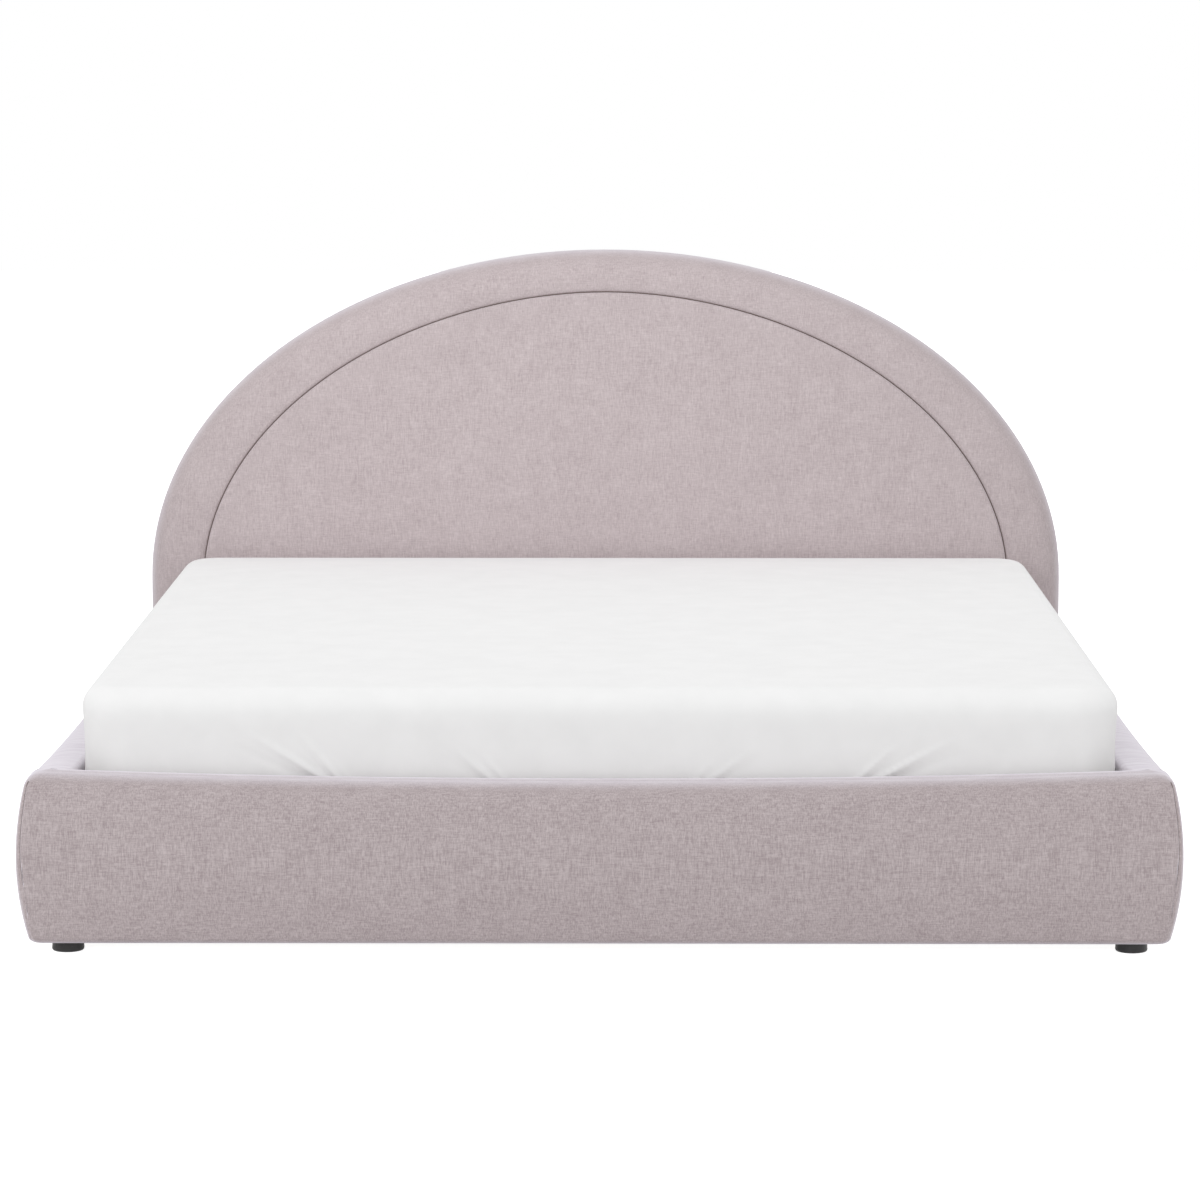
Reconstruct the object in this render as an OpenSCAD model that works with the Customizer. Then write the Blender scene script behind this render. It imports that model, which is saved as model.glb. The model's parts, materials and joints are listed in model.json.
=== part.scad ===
// Upholstered storage bed with a padded arched headboard and a slatted base that lifts up.
// Millimetres, +Z up. The head end is at +Y, the foot end at -Y.
// The origin is on the floor, midway between the sides and between the two ends.

/* [Mattress] */
// Width of the mattress
mattress_w = 1800; // [1400:10:2000]
// Length of the mattress
mattress_l = 2000; // [1900:10:2200]
// Thickness of the mattress
mattress_h = 220; // [160:5:260]
// Plan radius of the mattress corners
mattress_corner = 80; // [40:5:120]
// Radius of the soft edge round the top of the mattress
mattress_edge = 36; // [20:2:60]
// Height that the mattress crowns in its middle
mattress_crown = 5; // [0:1:12]
// Depth that the mattress sides draw in at mid height
mattress_waist = 4; // [0:1:10]
// Distance that the mattress sides bow outwards along their length
mattress_bow = 1.5; // [0.5:0.1:6]
// Thickness of the fitted sheet
sheet_t = 1.5; // [1:0.1:3]
// Height of the sheet's hem above the underside of the mattress
sheet_hem = 10; // [4:1:40]

/* [Upholstered base] */
// Gap between the mattress and each side rail
side_gap = 15; // [10:1:30]
// Gap between the mattress and the footboard
foot_gap = 14; // [12:1:40]
// Gap between the mattress and the headboard
head_gap = 23; // [20:1:50]
// Thickness of a padded side rail at its fullest
rail_t = 85; // [70:1:110]
// Thickness of the padded footboard at its fullest
foot_t = 85; // [70:1:110]
// Height of the footboard above the floor at the corners
base_top = 320; // [290:1:360]
// Depth that the footboard's top dips between the corners
foot_sag = 18; // [0:1:24]
// Depth that the ends of the side rails lie below the footboard's corners
rail_drop = 5; // [0:1:10]
// Depth that the side rails' top dips between their ends
rail_sag = 20; // [0:1:24]
// Radius of the outward bulge of the padded sides
bulge_r = 570; // [400:10:900]
// Radius of the padding where it curls under the base
under_r = 18; // [10:1:55]
// Radius of the padding along the outer top edge
top_r = 22; // [10:1:30]
// Radius of the padding along the inner top edge
inner_r = 10; // [6:1:20]
// Plan radius of the two foot corners
corner_r = 14; // [8:1:24]
// Thickness of the rail and footboard boards
board_t = 25; // [18:1:30]
// Height of the top of the boards above the floor
board_top = 270; // [240:1:275]
// Thickness of the cover that wraps under the boards
wrap_t = 5; // [3:1:8]

/* [Headboard] */
// Height of the headboard above the floor
head_top = 1103; // [900:1:1300]
// Thickness of the headboard
head_t = 98; // [80:1:120]
// Distance from the side of the base in to the side of the headboard
head_inset = 20; // [0:1:40]
// Height at which the straight sides of the headboard turn into the arch
arch_z = 400; // [360:5:480]
// Width of the padded border at the sides
border_w = 116; // [80:1:150]
// Width of the padded border at the top
border_top = 87; // [70:1:130]
// Fullness of the seam's arch, which is an ellipse at 2
seam_fullness = 1.92; // [1.8:0.01:2.1]
// Radius of the padding round the rim of the headboard
rim_r = 46; // [30:1:60]
// Radius of the rim at the back of the headboard
back_r = 20; // [10:1:26]
// Depth of the padding in front of the plywood
pad_t = 38; // [30:1:50]
// Depth of the sewn groove between the border and the centre
groove_d = 8; // [4:1:12]
// Width over which the padding rolls into the groove
groove_w = 16; // [8:1:24]
// Thickness of the plywood panel
panel_t = 18; // [12:1:24]
// Distance from the rim in to the edge of the plywood
panel_inset = 30; // [24:1:45]
// Thickness of the cover on the back
back_t = 4; // [3:1:6]
// Height of the timber cross rail that the side rails meet
crossrail_h = 213; // [180:1:240]
// Height of the timber rail along the bottom behind the plywood
bottom_rail_h = 80; // [40:5:120]
// Width of each upright batten behind the plywood
post_w = 60; // [40:1:90]
// Spacing of the upright battens
post_pitch = 600; // [400:10:700]

/* [Storage floor] */
// Height of the feet
feet_h = 25; // [15:1:60]
// Radius of the corner feet
feet_r = 28; // [20:1:32]
// Radius of the feet under the rails and the centre beam
mid_feet_r = 20; // [14:1:24]
// Height of the battens and beams under the storage floor
batten_h = 18; // [15:1:30]
// Width of the battens along the rails
batten_w = 20; // [15:1:40]
// Width of the centre beam and the cross bearers
beam_w = 40; // [30:1:60]
// Thickness of the storage floor panels
floor_t = 9; // [6:1:15]
// Number of cross bearers on each side
bearer_count = 2; // [1:1:4]

/* [Lifting platform] */
// Height of the platform tubes' underside above the floor
tube_z = 194; // [185:1:200]
// Width of the platform tubes
tube_w = 30; // [25:1:36]
// Height of the platform tubes
tube_h = 28; // [24:1:30]
// Wall of the platform tubes
tube_wall = 1.5; // [1:0.1:2.5]
// Distance from the mattress's ends in to the platform's end tubes
tube_end_inset = 6; // [4:1:20]
// Number of cross tubes between the end tubes
cross_count = 3; // [1:1:5]
// Number of slats in each column
slat_count = 14; // [8:1:18]
// Width of a slat
slat_w = 68; // [50:1:80]
// Thickness of a slat
slat_t = 8; // [6:0.5:10]
// Height that a slat arches in its middle
slat_arch = 2.4; // [0:0.1:2.4]
// Wall of the slat holders
holder_t = 2.4; // [2:0.1:3]
// Length of slat that a holder grips
holder_grip = 26; // [16:1:40]
// Clearance between the platform and what it rests on
rest_gap = 0.3; // [0.2:0.05:1]

/* [Lift mechanism] */
// Thickness of the arms and the upper brackets
arm_t = 5; // [4:0.5:6]
// Thickness of the base plates
plate_t = 4; // [3:0.5:5]
// Width of the arms
arm_w = 26; // [22:1:32]
// Radius of the pivot pins
pin_r = 4; // [3:0.5:5]
// Running clearance round a pivot pin
pin_play = 0.05; // [0.03:0.01:0.1]
// Clearance round the short arm's upper pin, which is left loose
loose_play = 0.9; // [0.8:0.05:1.5]
// Distance from the mattress's head end to the long arm's base pivot
long_base_y = 626; // [560:1:700]
// Height of the long arm's base pivot above the storage floor
long_base_z = 36; // [30:1:60]
// Distance from the mattress's head end to the long arm's upper pivot
long_top_y = 215; // [180:1:260]
// Depth of the long arm's upper pivot below the platform tubes
long_top_z = 25; // [20:1:34]
// Distance from the mattress's head end to the short arm's base pivot
short_base_y = 447; // [400:1:480]
// Height of the short arm's base pivot above the storage floor
short_base_z = 141; // [120:1:150]
// Distance from the mattress's head end to the short arm's upper pivot
short_top_y = 167; // [130:1:170]
// Height of the short arm's upper pivot above the underside of the tubes
short_top_z = 26; // [10:1:27]
// Distance of both ends of the gas strut from the short arm's base pivot
strut_reach = 180; // [170:1:190]
// Slope of the line from the short arm's base pivot down to the strut's base stud
strut_base_slope = 42.2; // [38:0.1:44]
// Slope of the line from the short arm's base pivot down to the strut's upper stud
strut_top_slope = 40; // [36:0.1:42]
// Radius of the gas strut's cylinder
strut_r = 10; // [8:0.5:11]
// Radius of the gas strut's rod
rod_r = 4; // [3:0.5:5]
// Length of the gas strut's cylinder from its eye to its mouth
strut_len = 190; // [170:1:200]
// Length of the gas strut's rod from its eye to its piston
rod_len = 180; // [170:1:195]
// Radius of the strut's end eyes
eye_r = 9; // [8:0.5:10]
// Width of the strut's end eyes
eye_w = 12; // [10:1:14]

/* [Fasteners] */
// Length of each leg of a corner bracket
bracket_leg = 60; // [45:1:80]
// Height of a corner bracket
bracket_h = 120; // [80:1:140]
// Thickness of a corner bracket
bracket_t = 3; // [2:0.5:4]
// Radius of a corner bolt
bolt_r = 4; // [3:0.5:5]
// Length of a corner bolt in the timber
bolt_len = 18; // [12:1:20]
// Radius of a wood screw
screw_r = 2.2; // [2:0.1:3]
// Length of a wood screw in the timber
screw_len = 16; // [10:1:20]
// Width of the ledges that carry the platform
ledge_w = 45; // [42:1:50]
// Height of the ledges that carry the platform
ledge_h = 25; // [20:1:30]
// Thickness of the ledges
ledge_t = 3; // [2:0.5:4]
// Radius of a rubber buffer on a ledge
buffer_r = 10; // [6:1:12]
// Thickness of a rubber buffer
buffer_t = 5.7; // [3:0.1:8]

/* [Foot end fittings] */
// Width of a mattress retainer
retainer_w = 110; // [60:5:200]
// Thickness of a mattress retainer
retainer_t = 3; // [2:0.5:4]
// Height that a mattress retainer stands above the underside of the mattress
retainer_h = 46; // [30:1:50]
// Distance from the centre to each mattress retainer
retainer_x = 520; // [300:10:700]
// Width of the pull strap
strap_w = 40; // [25:1:60]
// Thickness of the pull strap's webbing
strap_t = 2; // [1.5:0.1:2.5]
// Length that the pull strap hangs below the foot tube
strap_drop = 70; // [40:5:90]

/* [Hidden] */

// Colours as the photograph shows them
c_fabric = "#B9ADAD";
c_lining = "#3A3838";
c_sheet = "#EDEDED";
c_ticking = "#E2E0DA";
c_timber = "#C9A77C";
c_slat = "#D9BE92";
c_floor = "#D8D4CC";
c_steel = "#2B2C2E";
c_zinc = "#B9BCC0";
c_rod = "#D5D8DC";
c_plastic = "#1B1B1C";
c_rubber = "#151515";
c_webbing = "#232326";

// Places across the bed, as half widths
inner_x = mattress_w / 2 + side_gap;
outer_x = inner_x + rail_t;
board_x = inner_x + board_t;

// Places along the bed
bed_l = foot_t + foot_gap + mattress_l + head_gap + head_t;
foot_y = -bed_l / 2;
foot_in_y = foot_y + foot_t;
mattress_y0 = foot_in_y + foot_gap;
mattress_y1 = mattress_y0 + mattress_l;
mattress_y = (mattress_y0 + mattress_y1) / 2;
head_y = mattress_y1 + head_gap;
back_y = head_y + head_t;
rail_l = head_y - foot_in_y;

// Heights
base_z = feet_h;
board_z = base_z + wrap_t;
batten_top = base_z + batten_h;
floor_top = batten_top + floor_t;
tube_top = tube_z + tube_h;
mattress_z = tube_top + holder_t * 2 + slat_t + 0.2;
mattress_top = mattress_z + mattress_h;
crossrail_top = base_z + crossrail_h;
ledge_top = tube_z - rest_gap - buffer_t;

// Fine and coarse roundness
fine = 48;
coarse = 24;

// Section of the padded base: how far each height lies in from the fullest point
fullest_z = base_z + (base_top - base_z) / 2;
function bulge(z) = bulge_r - sqrt(bulge_r * bulge_r - (z - fullest_z) * (z - fullest_z));
under_steps = [0:15:90];
top_steps = [0:18:90];
mid_count = 5;
mid_z0 = base_z + under_r;
mid_z1 = base_top - top_r;
base_section = concat(
    [for (a = under_steps) let (z = base_z + under_r * (1 - cos(a)))
        [bulge(z) + under_r * (1 - sin(a)), z]],
    [for (i = [1:mid_count]) let (z = mid_z0 + (mid_z1 - mid_z0) * i / (mid_count + 1))
        [bulge(z), z]],
    [for (a = top_steps) let (z = base_top - top_r * (1 - sin(a)))
        [bulge(z) + top_r * (1 - cos(a)), z]]
);

// How far the inner face is drawn in at a height, by the inner top edge
function inner_draw(z) =
    let (d = base_top - z)
    d < inner_r ? inner_r - sqrt(inner_r * inner_r - (inner_r - d) * (inner_r - d)) : 0;

// Height at a place along an edge, from -1 to 1 between its corners, whose top lies lower by a drop
// at the corners and dips further by a sag between them
sag_power = 2.2;
function dipped(z, s, drop, sag) =
    let (low = drop + sag * (1 - pow(min(1, abs(s)), sag_power)))
    base_z + (z - base_z) * (1 - low / (base_top - base_z));

// Triangles between neighbouring rings of n points, for m rings that start at a point
function ring_sides(n, m, start) = [
    for (i = [0:m - 2], j = [0:n - 1])
        let (k = (j + 1) % n, a = start + i * n, b = a + n)
        each [[a + j, b + k, a + k], [a + j, b + j, b + k]]
];
function shifted(faces, by) = [for (f = faces) [for (v = f) v + by]];
function turned(faces) = [for (f = faces) [for (i = [len(f) - 1:-1:0]) f[i]]];
function whole_cap(n) = [[for (j = [0:n - 1]) j]];

// A closed solid through rings of as many points each, capped at both ends
module loft(rings, cap = []) {
    n = len(rings[0]);
    m = len(rings);
    end = len(cap) > 0 ? cap : whole_cap(n);
    polyhedron(
        points = [for (r = rings) each r],
        faces = concat(ring_sides(n, m, 0), end, turned(shifted(end, (m - 1) * n))),
        convexity = 6
    );
}

// A shell between an outer and an inner stack of rings, open at its lower rim
module lofted_shell(outer, inner) {
    n = len(outer[0]);
    m = len(outer);
    o = m * n;
    skin = ring_sides(n, m, 0);
    lining = turned(ring_sides(n, m, o));
    rim = [for (j = [0:n - 1]) let (k = (j + 1) % n)
        each [[j, o + k, o + j], [j, k, o + k]]];
    high = turned(shifted(whole_cap(n), o - n));
    low = shifted(whole_cap(n), 2 * o - n);
    polyhedron(
        points = concat([for (r = outer) each r], [for (r = inner) each r]),
        faces = concat(skin, lining, rim, high, low),
        convexity = 6
    );
}

// A flat piece drawn in Y and Z, with its thickness along X
module side_plate(x, t) {
    translate([x, 0, 0])
        rotate([90, 0, 90])
            linear_extrude(height = t)
                children();
}

// A round bar along X through a point given as [y, z]
module side_pin(x0, x1, p, r) {
    translate([x0, p[0], p[1]])
        rotate([0, 90, 0])
            cylinder(h = x1 - x0, r = r, $fn = fine);
}

// A box given by its lowest and highest corners
module box(a, b) {
    translate(a)
        cube(b - a);
}

module on_left() {
    mirror([1, 0, 0])
        children();
}

// Upholstered base
rail_stations = 10;

// Section of a right rail cover at a place along the rail, from -1 to 1
function rail_ring(s) =
    let (y = foot_in_y + rail_l * (s + 1) / 2)
    concat(
        [[inner_x, y, base_z]],
        [for (p = base_section) [outer_x - p[0], y, dipped(p[1], s, rail_drop, rail_sag)]],
        [for (a = [90:-30:0]) let (z = base_top - inner_r * (1 - sin(a)))
            [inner_x + inner_draw(z), y, dipped(z, s, rail_drop, rail_sag)]]
    );

module rail_cover() {
    difference() {
        loft([for (i = [0:rail_stations]) rail_ring(1 - 2 * i / rail_stations)]);
        box([inner_x - 1, foot_in_y - 1, board_z], [board_x, head_y + 1, board_top]);
    }
}

module right_rail_cover() {
    color(c_fabric)
        rail_cover();
}

module left_rail_cover() {
    color(c_fabric)
        on_left()
            rail_cover();
}

module rail_board() {
    difference() {
        box([inner_x, foot_in_y, board_z], [board_x, head_y, board_top]);
        side_bolt_holes();
        side_screw_holes();
    }
}

module right_rail_board() {
    color(c_timber)
        rail_board();
}

module left_rail_board() {
    color(c_timber)
        on_left()
            rail_board();
}

// Plan outline of the footboard at one level of the base section
foot_shares = [0.8, 0.6, 0.4, 0.2, 0, -0.2, -0.4, -0.6, -0.8];
function foot_ring(inset, z) =
    let (
        hx = outer_x - inset,
        fy = foot_y + inset,
        iy = foot_in_y - inner_draw(z),
        run = hx - corner_r,
        plan = concat(
            [[hx, iy]],
            [for (a = [0:-30:-90]) [run + corner_r * cos(a), fy + corner_r + corner_r * sin(a)]],
            [for (s = foot_shares) [run * s, fy]],
            [for (a = [-90:-30:-180]) [-run + corner_r * cos(a), fy + corner_r + corner_r * sin(a)]],
            [[-hx, iy]],
            [for (s = foot_shares) [-run * s, iy]]
        )
    )
    [for (p = plan) [p[0], p[1], dipped(z, p[0] / outer_x, 0, foot_sag)]];

// Triangles over one level of the footboard, from its front edge across to its back edge
foot_count = 2 * len(foot_shares) + 10;
foot_half = len(foot_shares) + 9;
foot_cap = concat(
    [for (i = [1:3]) [0, i, i + 1]],
    [for (j = [0:len(foot_shares)]) let (f = 4 + j, b = foot_count - 1 - j)
        each [[f, f + 1, b], [f, b, (b + 1) % foot_count]]],
    [for (i = [foot_half - 4:foot_half - 2]) [foot_half, i, i + 1]]
);

foot_board_x = outer_x - 40;

module footboard_cover() {
    color(c_fabric)
        difference() {
            loft(
                [for (i = [len(base_section) - 1:-1:0])
                    foot_ring(base_section[i][0], base_section[i][1])],
                foot_cap
            );
            box(
                [-foot_board_x, foot_in_y - board_t, board_z],
                [foot_board_x, foot_in_y + 1, board_top]
            );
        }
}

module footboard_board() {
    color(c_timber)
        difference() {
            box(
                [-foot_board_x, foot_in_y - board_t, board_z],
                [foot_board_x, foot_in_y, board_top]
            );
            end_bolt_holes(foot_in_y, -1);
        }
}

// Headboard
head_x = outer_x - head_inset;
arch_b = head_top - arch_z;
seam_x = head_x - border_w;
seam_b = arch_b - border_top;
arch_step = 5;

// Each station is [seam point, rim point], from the right foot over the arch to the left foot
function filled(v) = sign(v) * pow(abs(v), 2 / seam_fullness);
function station(a) = [
    [seam_x * filled(cos(a)), arch_z + seam_b * filled(sin(a))],
    [head_x * cos(a), arch_z + arch_b * sin(a)],
];
stations = concat(
    [[[seam_x, base_z], [head_x, base_z]]],
    [for (a = [0:arch_step:180]) station(a)],
    [[[-seam_x, base_z], [-head_x, base_z]]]
);
function outward(s) = (s[1] - s[0]) / norm(s[1] - s[0]);

// Outline at a distance in from the rim, closed along a level bottom
function rim_outline(inset, z) = [for (s = stations) let (p = s[1] - outward(s) * inset)
    [p[0], max(z, p[1])]];

// Outline at a distance in from the seam, closed along a level bottom
function seam_outline(inset, z) = [for (s = stations) let (p = s[0] - outward(s) * inset)
    [p[0], max(z, p[1])]];

// Section of the border: distance out from the seam, depth behind the front
function border_section(w) = concat(
    [for (a = [0:30:90]) [groove_w * (1 - cos(a)), groove_d * (1 - sin(a))]],
    [for (a = [0:15:90]) [w - rim_r * (1 - sin(a)), rim_r * (1 - cos(a))]],
    [for (a = [0:30:90]) [w - back_r * (1 - cos(a)), head_t - back_r * (1 - sin(a))]],
    [
        [w - panel_inset - 10, head_t],
        [w - panel_inset - 10, head_t - back_t],
        [w - panel_inset, head_t - back_t],
        [w - panel_inset, pad_t],
        [0, pad_t],
    ]
);

// The same section beside the crossrail, with its inner side cut back in a slight hollow
rail_clear = panel_inset + 5;
function leg_section(w) =
    let (full = border_section(w), last = len(full) - 1)
    [for (i = [0:last]) i == last ? [w - rail_clear, pad_t]
        : i > 4 ? full[i]
        : [w - rail_clear + sin(30 * (5 - i)) / 2, pad_t * (5 - i) / 6]];

function placed(section, s) = let (d = outward(s))
    [for (q = section) let (p = s[0] + d * q[0]) [p[0], head_y + q[1], p[1]]];
function border_ring(s) = placed(border_section(norm(s[1] - s[0])), s);
function leg_ring(s) = placed(leg_section(norm(s[1] - s[0])), s);
function raised(s, z) = [[s[0][0], z], [s[1][0], z]];

// Rings of one leg of the border, from the ground up
function leg_rings(s) = [
    leg_ring(s),
    leg_ring(raised(s, crossrail_top)),
    border_ring(raised(s, crossrail_top + 1)),
];
last_station = len(stations) - 1;
border_rings = concat(
    leg_rings(stations[0]),
    [for (i = [1:last_station - 1]) border_ring(stations[i])],
    [for (i = [2:-1:0]) leg_rings(stations[last_station])[i]]
);

crossrail_x = head_x - rail_clear;

module crossrail_block() {
    box([-crossrail_x, head_y, base_z], [crossrail_x, head_y + pad_t, crossrail_top]);
}

module headboard_border_pad() {
    color(c_fabric)
        loft(border_rings);
}

// The centre pad's rings: distance in from the seam, depth behind the front
seam_gap = 0.6;
center_rings = concat(
    [[seam_gap, pad_t]],
    [for (a = [0:30:90]) [seam_gap + groove_w * (1 - cos(a)), groove_d * (1 - sin(a)) + 1]],
    [[seam_gap + groove_w * 6, 0]]
);

module headboard_center_pad() {
    color(c_fabric)
        loft([for (r = center_rings)
            [for (p = seam_outline(r[0], crossrail_top + r[0])) [p[0], head_y + r[1], p[1]]]]);
}

module head_slab(y0, y1) {
    translate([0, y1, 0])
        rotate([90, 0, 0])
            linear_extrude(height = y1 - y0)
                children();
}

panel_y0 = head_y + pad_t;
panel_y1 = panel_y0 + panel_t;
back_y0 = back_y - back_t;

module headboard_panel() {
    color(c_timber)
        head_slab(panel_y0, panel_y1)
            polygon(rim_outline(panel_inset, board_z));
}

module headboard_back_cover() {
    color(c_lining)
        head_slab(back_y0, back_y)
            polygon(rim_outline(panel_inset + 10, board_z));
}

module headboard_crossrail() {
    color(c_timber)
        difference() {
            crossrail_block();
            end_bolt_holes(head_y, 1);
        }
}

post_z = board_z + bottom_rail_h;

// Height of the underside of the arch's padding over a place across the headboard
function arch_over(x) =
    let (a = head_x - panel_inset - 20, b = arch_b - panel_inset - 20)
    arch_z + b * sqrt(1 - x * x / (a * a));

module headboard_bottom_rail() {
    color(c_timber)
        box([-crossrail_x, panel_y1, board_z], [crossrail_x, back_y0, post_z]);
}

module headboard_uprights() {
    color(c_timber)
        for (x = [-post_pitch, 0, post_pitch])
            box(
                [x - post_w / 2, panel_y1, post_z],
                [x + post_w / 2, back_y0, arch_over(abs(x) + post_w / 2)]
            );
}

// Corner brackets and their bolts
bracket_z = floor_top + 8;
bolt_margin = 20;
bolt_out = bracket_leg - bolt_margin;
bolt_zs = [bracket_z + bolt_margin, bracket_z + bracket_h - bolt_margin];
bolt_head_r = bolt_r * 1.8;
bolt_head_h = 5;

// One bracket in the right corner at a board's face, reaching along Y in the direction given
module corner_bracket(y, toward) {
    mirrored = toward > 0 ? 0 : 1;
    difference() {
        translate([0, y, 0])
            mirror([0, mirrored, 0]) {
                box([inner_x - bracket_t, 0, bracket_z], [inner_x, bracket_leg, bracket_z + bracket_h]);
                box(
                    [inner_x - bracket_leg, 0, bracket_z],
                    [inner_x - bracket_t, bracket_t, bracket_z + bracket_h]
                );
            }
        side_bolt_holes();
        end_bolt_holes(y, -toward);
    }
}

side_bolt_ys = [foot_in_y + bolt_out, head_y - bolt_out];

module side_bolt_holes() {
    for (y = side_bolt_ys, z = bolt_zs)
        side_pin(inner_x - bracket_t - 1, inner_x + bolt_len, [y, z], bolt_r);
}

// A bar along Y from y0 to y1
module end_pin(x, y0, y1, z, r, sides) {
    translate([x, y1, z])
        rotate([90, 0, 0])
            cylinder(h = y1 - y0, r = r, $fn = sides);
}

// Holes on both sides, into a board whose face is at y, away from the mattress
module end_bolt_holes(y, away) {
    y0 = min(y - away * (bracket_t + 1), y + away * bolt_len);
    y1 = max(y - away * (bracket_t + 1), y + away * bolt_len);
    for (side = [-1, 1], z = bolt_zs)
        end_pin(side * (inner_x - bolt_out), y0, y1, z, bolt_r, fine);
}

module both_sides() {
    children();
    on_left()
        children();
}

module foot_corner_brackets() {
    color(c_steel)
        both_sides()
            corner_bracket(foot_in_y, 1);
}

module head_corner_brackets() {
    color(c_steel)
        both_sides()
            corner_bracket(head_y, -1);
}

module side_bolt(y, z) {
    face = inner_x - bracket_t;
    side_pin(face, inner_x + bolt_len, [y, z], bolt_r);
    translate([face - bolt_head_h, y, z])
        rotate([0, 90, 0])
            cylinder(h = bolt_head_h, r = bolt_head_r, $fn = 6);
}

module end_bolt(y, away, z) {
    x = inner_x - bolt_out;
    face = y - away * bracket_t;
    tip = y + away * bolt_len;
    top = face - away * bolt_head_h;
    end_pin(x, min(face, tip), max(face, tip), z, bolt_r, fine);
    end_pin(x, min(face, top), max(face, top), z, bolt_head_r, 6);
}

module corner_bolts() {
    color(c_zinc)
        both_sides()
            for (z = bolt_zs) {
                for (y = side_bolt_ys)
                    side_bolt(y, z);
                end_bolt(foot_in_y, -1, z);
                end_bolt(head_y, 1, z);
            }
}

// Ledges on the rails that carry the closed platform
ledge_foot_y0 = foot_in_y + bracket_leg + 10;
ledge_foot_y1 = mattress_y1 - long_base_y - 50;
ledge_head_y0 = mattress_y1 - short_top_y + 62;
ledge_head_y1 = head_y - bracket_leg - 4;
ledge_spans = [[ledge_foot_y0, ledge_foot_y1], [ledge_head_y0, ledge_head_y1]];
ledge_margin = 16;
ledge_screw_ys = concat(
    [for (i = [0:3]) ledge_foot_y0 + ledge_margin
        + (ledge_foot_y1 - ledge_foot_y0 - 2 * ledge_margin) * i / 3],
    [(ledge_head_y0 + ledge_head_y1) / 2]
);
ledge_screw_z = ledge_top - ledge_h * 0.6;

module ledges() {
    difference() {
        for (s = ledge_spans) {
            difference() {
                box([inner_x - ledge_w, s[0], ledge_top - ledge_h], [inner_x, s[1], ledge_top]);
                box(
                    [inner_x - ledge_w - 1, s[0] - 1, ledge_top - ledge_h - 1],
                    [inner_x - ledge_t, s[1] + 1, ledge_top - ledge_t]
                );
            }
        }
        ledge_screw_holes();
    }
}

module right_ledges() {
    color(c_steel)
        ledges();
}

module left_ledges() {
    color(c_steel)
        on_left()
            ledges();
}

buffer_x = inner_x - ledge_w + buffer_r + 1;
buffer_ys = [ledge_foot_y0 + 20, (ledge_foot_y0 + ledge_foot_y1) / 2, ledge_foot_y1 - 20,
    (ledge_head_y0 + ledge_head_y1) / 2];

module ledge_buffers() {
    color(c_rubber)
        both_sides()
            for (y = buffer_ys)
                translate([buffer_x, y, ledge_top])
                    cylinder(h = buffer_t, r = buffer_r, $fn = coarse);
}

// Countersunk wood screws through the ledges and the base plates
screw_head_r = screw_r * 2;
screw_head_h = 2;

module side_screw(face, p) {
    translate([face, p[0], p[1]])
        rotate([0, 90, 0])
            cylinder(h = screw_head_h, r1 = screw_head_r, r2 = screw_r, $fn = coarse);
    side_pin(face + screw_head_h, inner_x + screw_len, p, screw_r);
}

module side_screw_holes() {
    ledge_screw_holes();
    plate_screw_holes();
}

module ledge_screw_holes() {
    for (y = ledge_screw_ys)
        side_screw(inner_x - ledge_t, [y, ledge_screw_z]);
}

module plate_screw_holes() {
    for (p = plate_screws)
        side_screw(inner_x - plate_t, p);
}

module side_screws() {
    color(c_zinc)
        both_sides()
            side_screw_holes();
}

// Storage floor
module floor_batten() {
    box([inner_x - batten_w, foot_in_y, base_z], [inner_x, head_y, batten_top]);
}

module right_floor_batten() {
    color(c_timber)
        floor_batten();
}

module left_floor_batten() {
    color(c_timber)
        on_left()
            floor_batten();
}

module center_beam() {
    color(c_timber)
        box([-beam_w / 2, foot_in_y, base_z], [beam_w / 2, head_y, batten_top]);
}

bearer_ys = [for (i = [1:bearer_count]) foot_in_y + rail_l * i / (bearer_count + 1)];

module cross_bearers() {
    color(c_timber)
        both_sides()
            for (y = bearer_ys)
                box(
                    [beam_w / 2, y - beam_w / 2, base_z],
                    [inner_x - batten_w, y + beam_w / 2, batten_top]
                );
}

floor_gap = 1;

module floor_panel() {
    box(
        [floor_gap, foot_in_y + floor_gap, batten_top],
        [inner_x - floor_gap, head_y - floor_gap, floor_top]
    );
}

module right_floor_panel() {
    color(c_floor)
        floor_panel();
}

module left_floor_panel() {
    color(c_floor)
        on_left()
            floor_panel();
}

// Feet
foot_edge = 4;

module puck(r) {
    rotate_extrude($fn = fine)
        polygon(concat(
            [[0, 0]],
            [for (a = [-90:30:0]) [r - foot_edge + foot_edge * cos(a), foot_edge + foot_edge * sin(a)]],
            [[r - 1, feet_h], [0, feet_h]]
        ));
}

foot_puck_x = inner_x + 5;
foot_puck_y = foot_in_y - 2;
head_puck_y = head_y + pad_t;
rail_puck_x = inner_x + mid_feet_r;

module corner_feet() {
    color(c_plastic)
        both_sides()
            for (y = [foot_puck_y, head_puck_y])
                translate([foot_puck_x, y, 0])
                    puck(feet_r);
}

module rail_feet() {
    color(c_plastic)
        both_sides()
            for (y = bearer_ys)
                translate([rail_puck_x, y, 0])
                    puck(mid_feet_r);
}

module beam_feet() {
    color(c_plastic)
        for (y = concat(bearer_ys, [(foot_in_y + head_y) / 2]))
            translate([0, y, 0])
                puck(mid_feet_r);
}

// Pivots of the lift mechanism as [y, z]
long_base = [mattress_y1 - long_base_y, floor_top + long_base_z];
long_top = [mattress_y1 - long_top_y, tube_z - long_top_z];
short_base = [mattress_y1 - short_base_y, floor_top + short_base_z];
short_top = [mattress_y1 - short_top_y, tube_z + short_top_z];
strut_base = short_base - strut_reach * [cos(strut_base_slope), sin(strut_base_slope)];
strut_top = short_base + strut_reach * [cos(strut_top_slope), -sin(strut_top_slope)];

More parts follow.
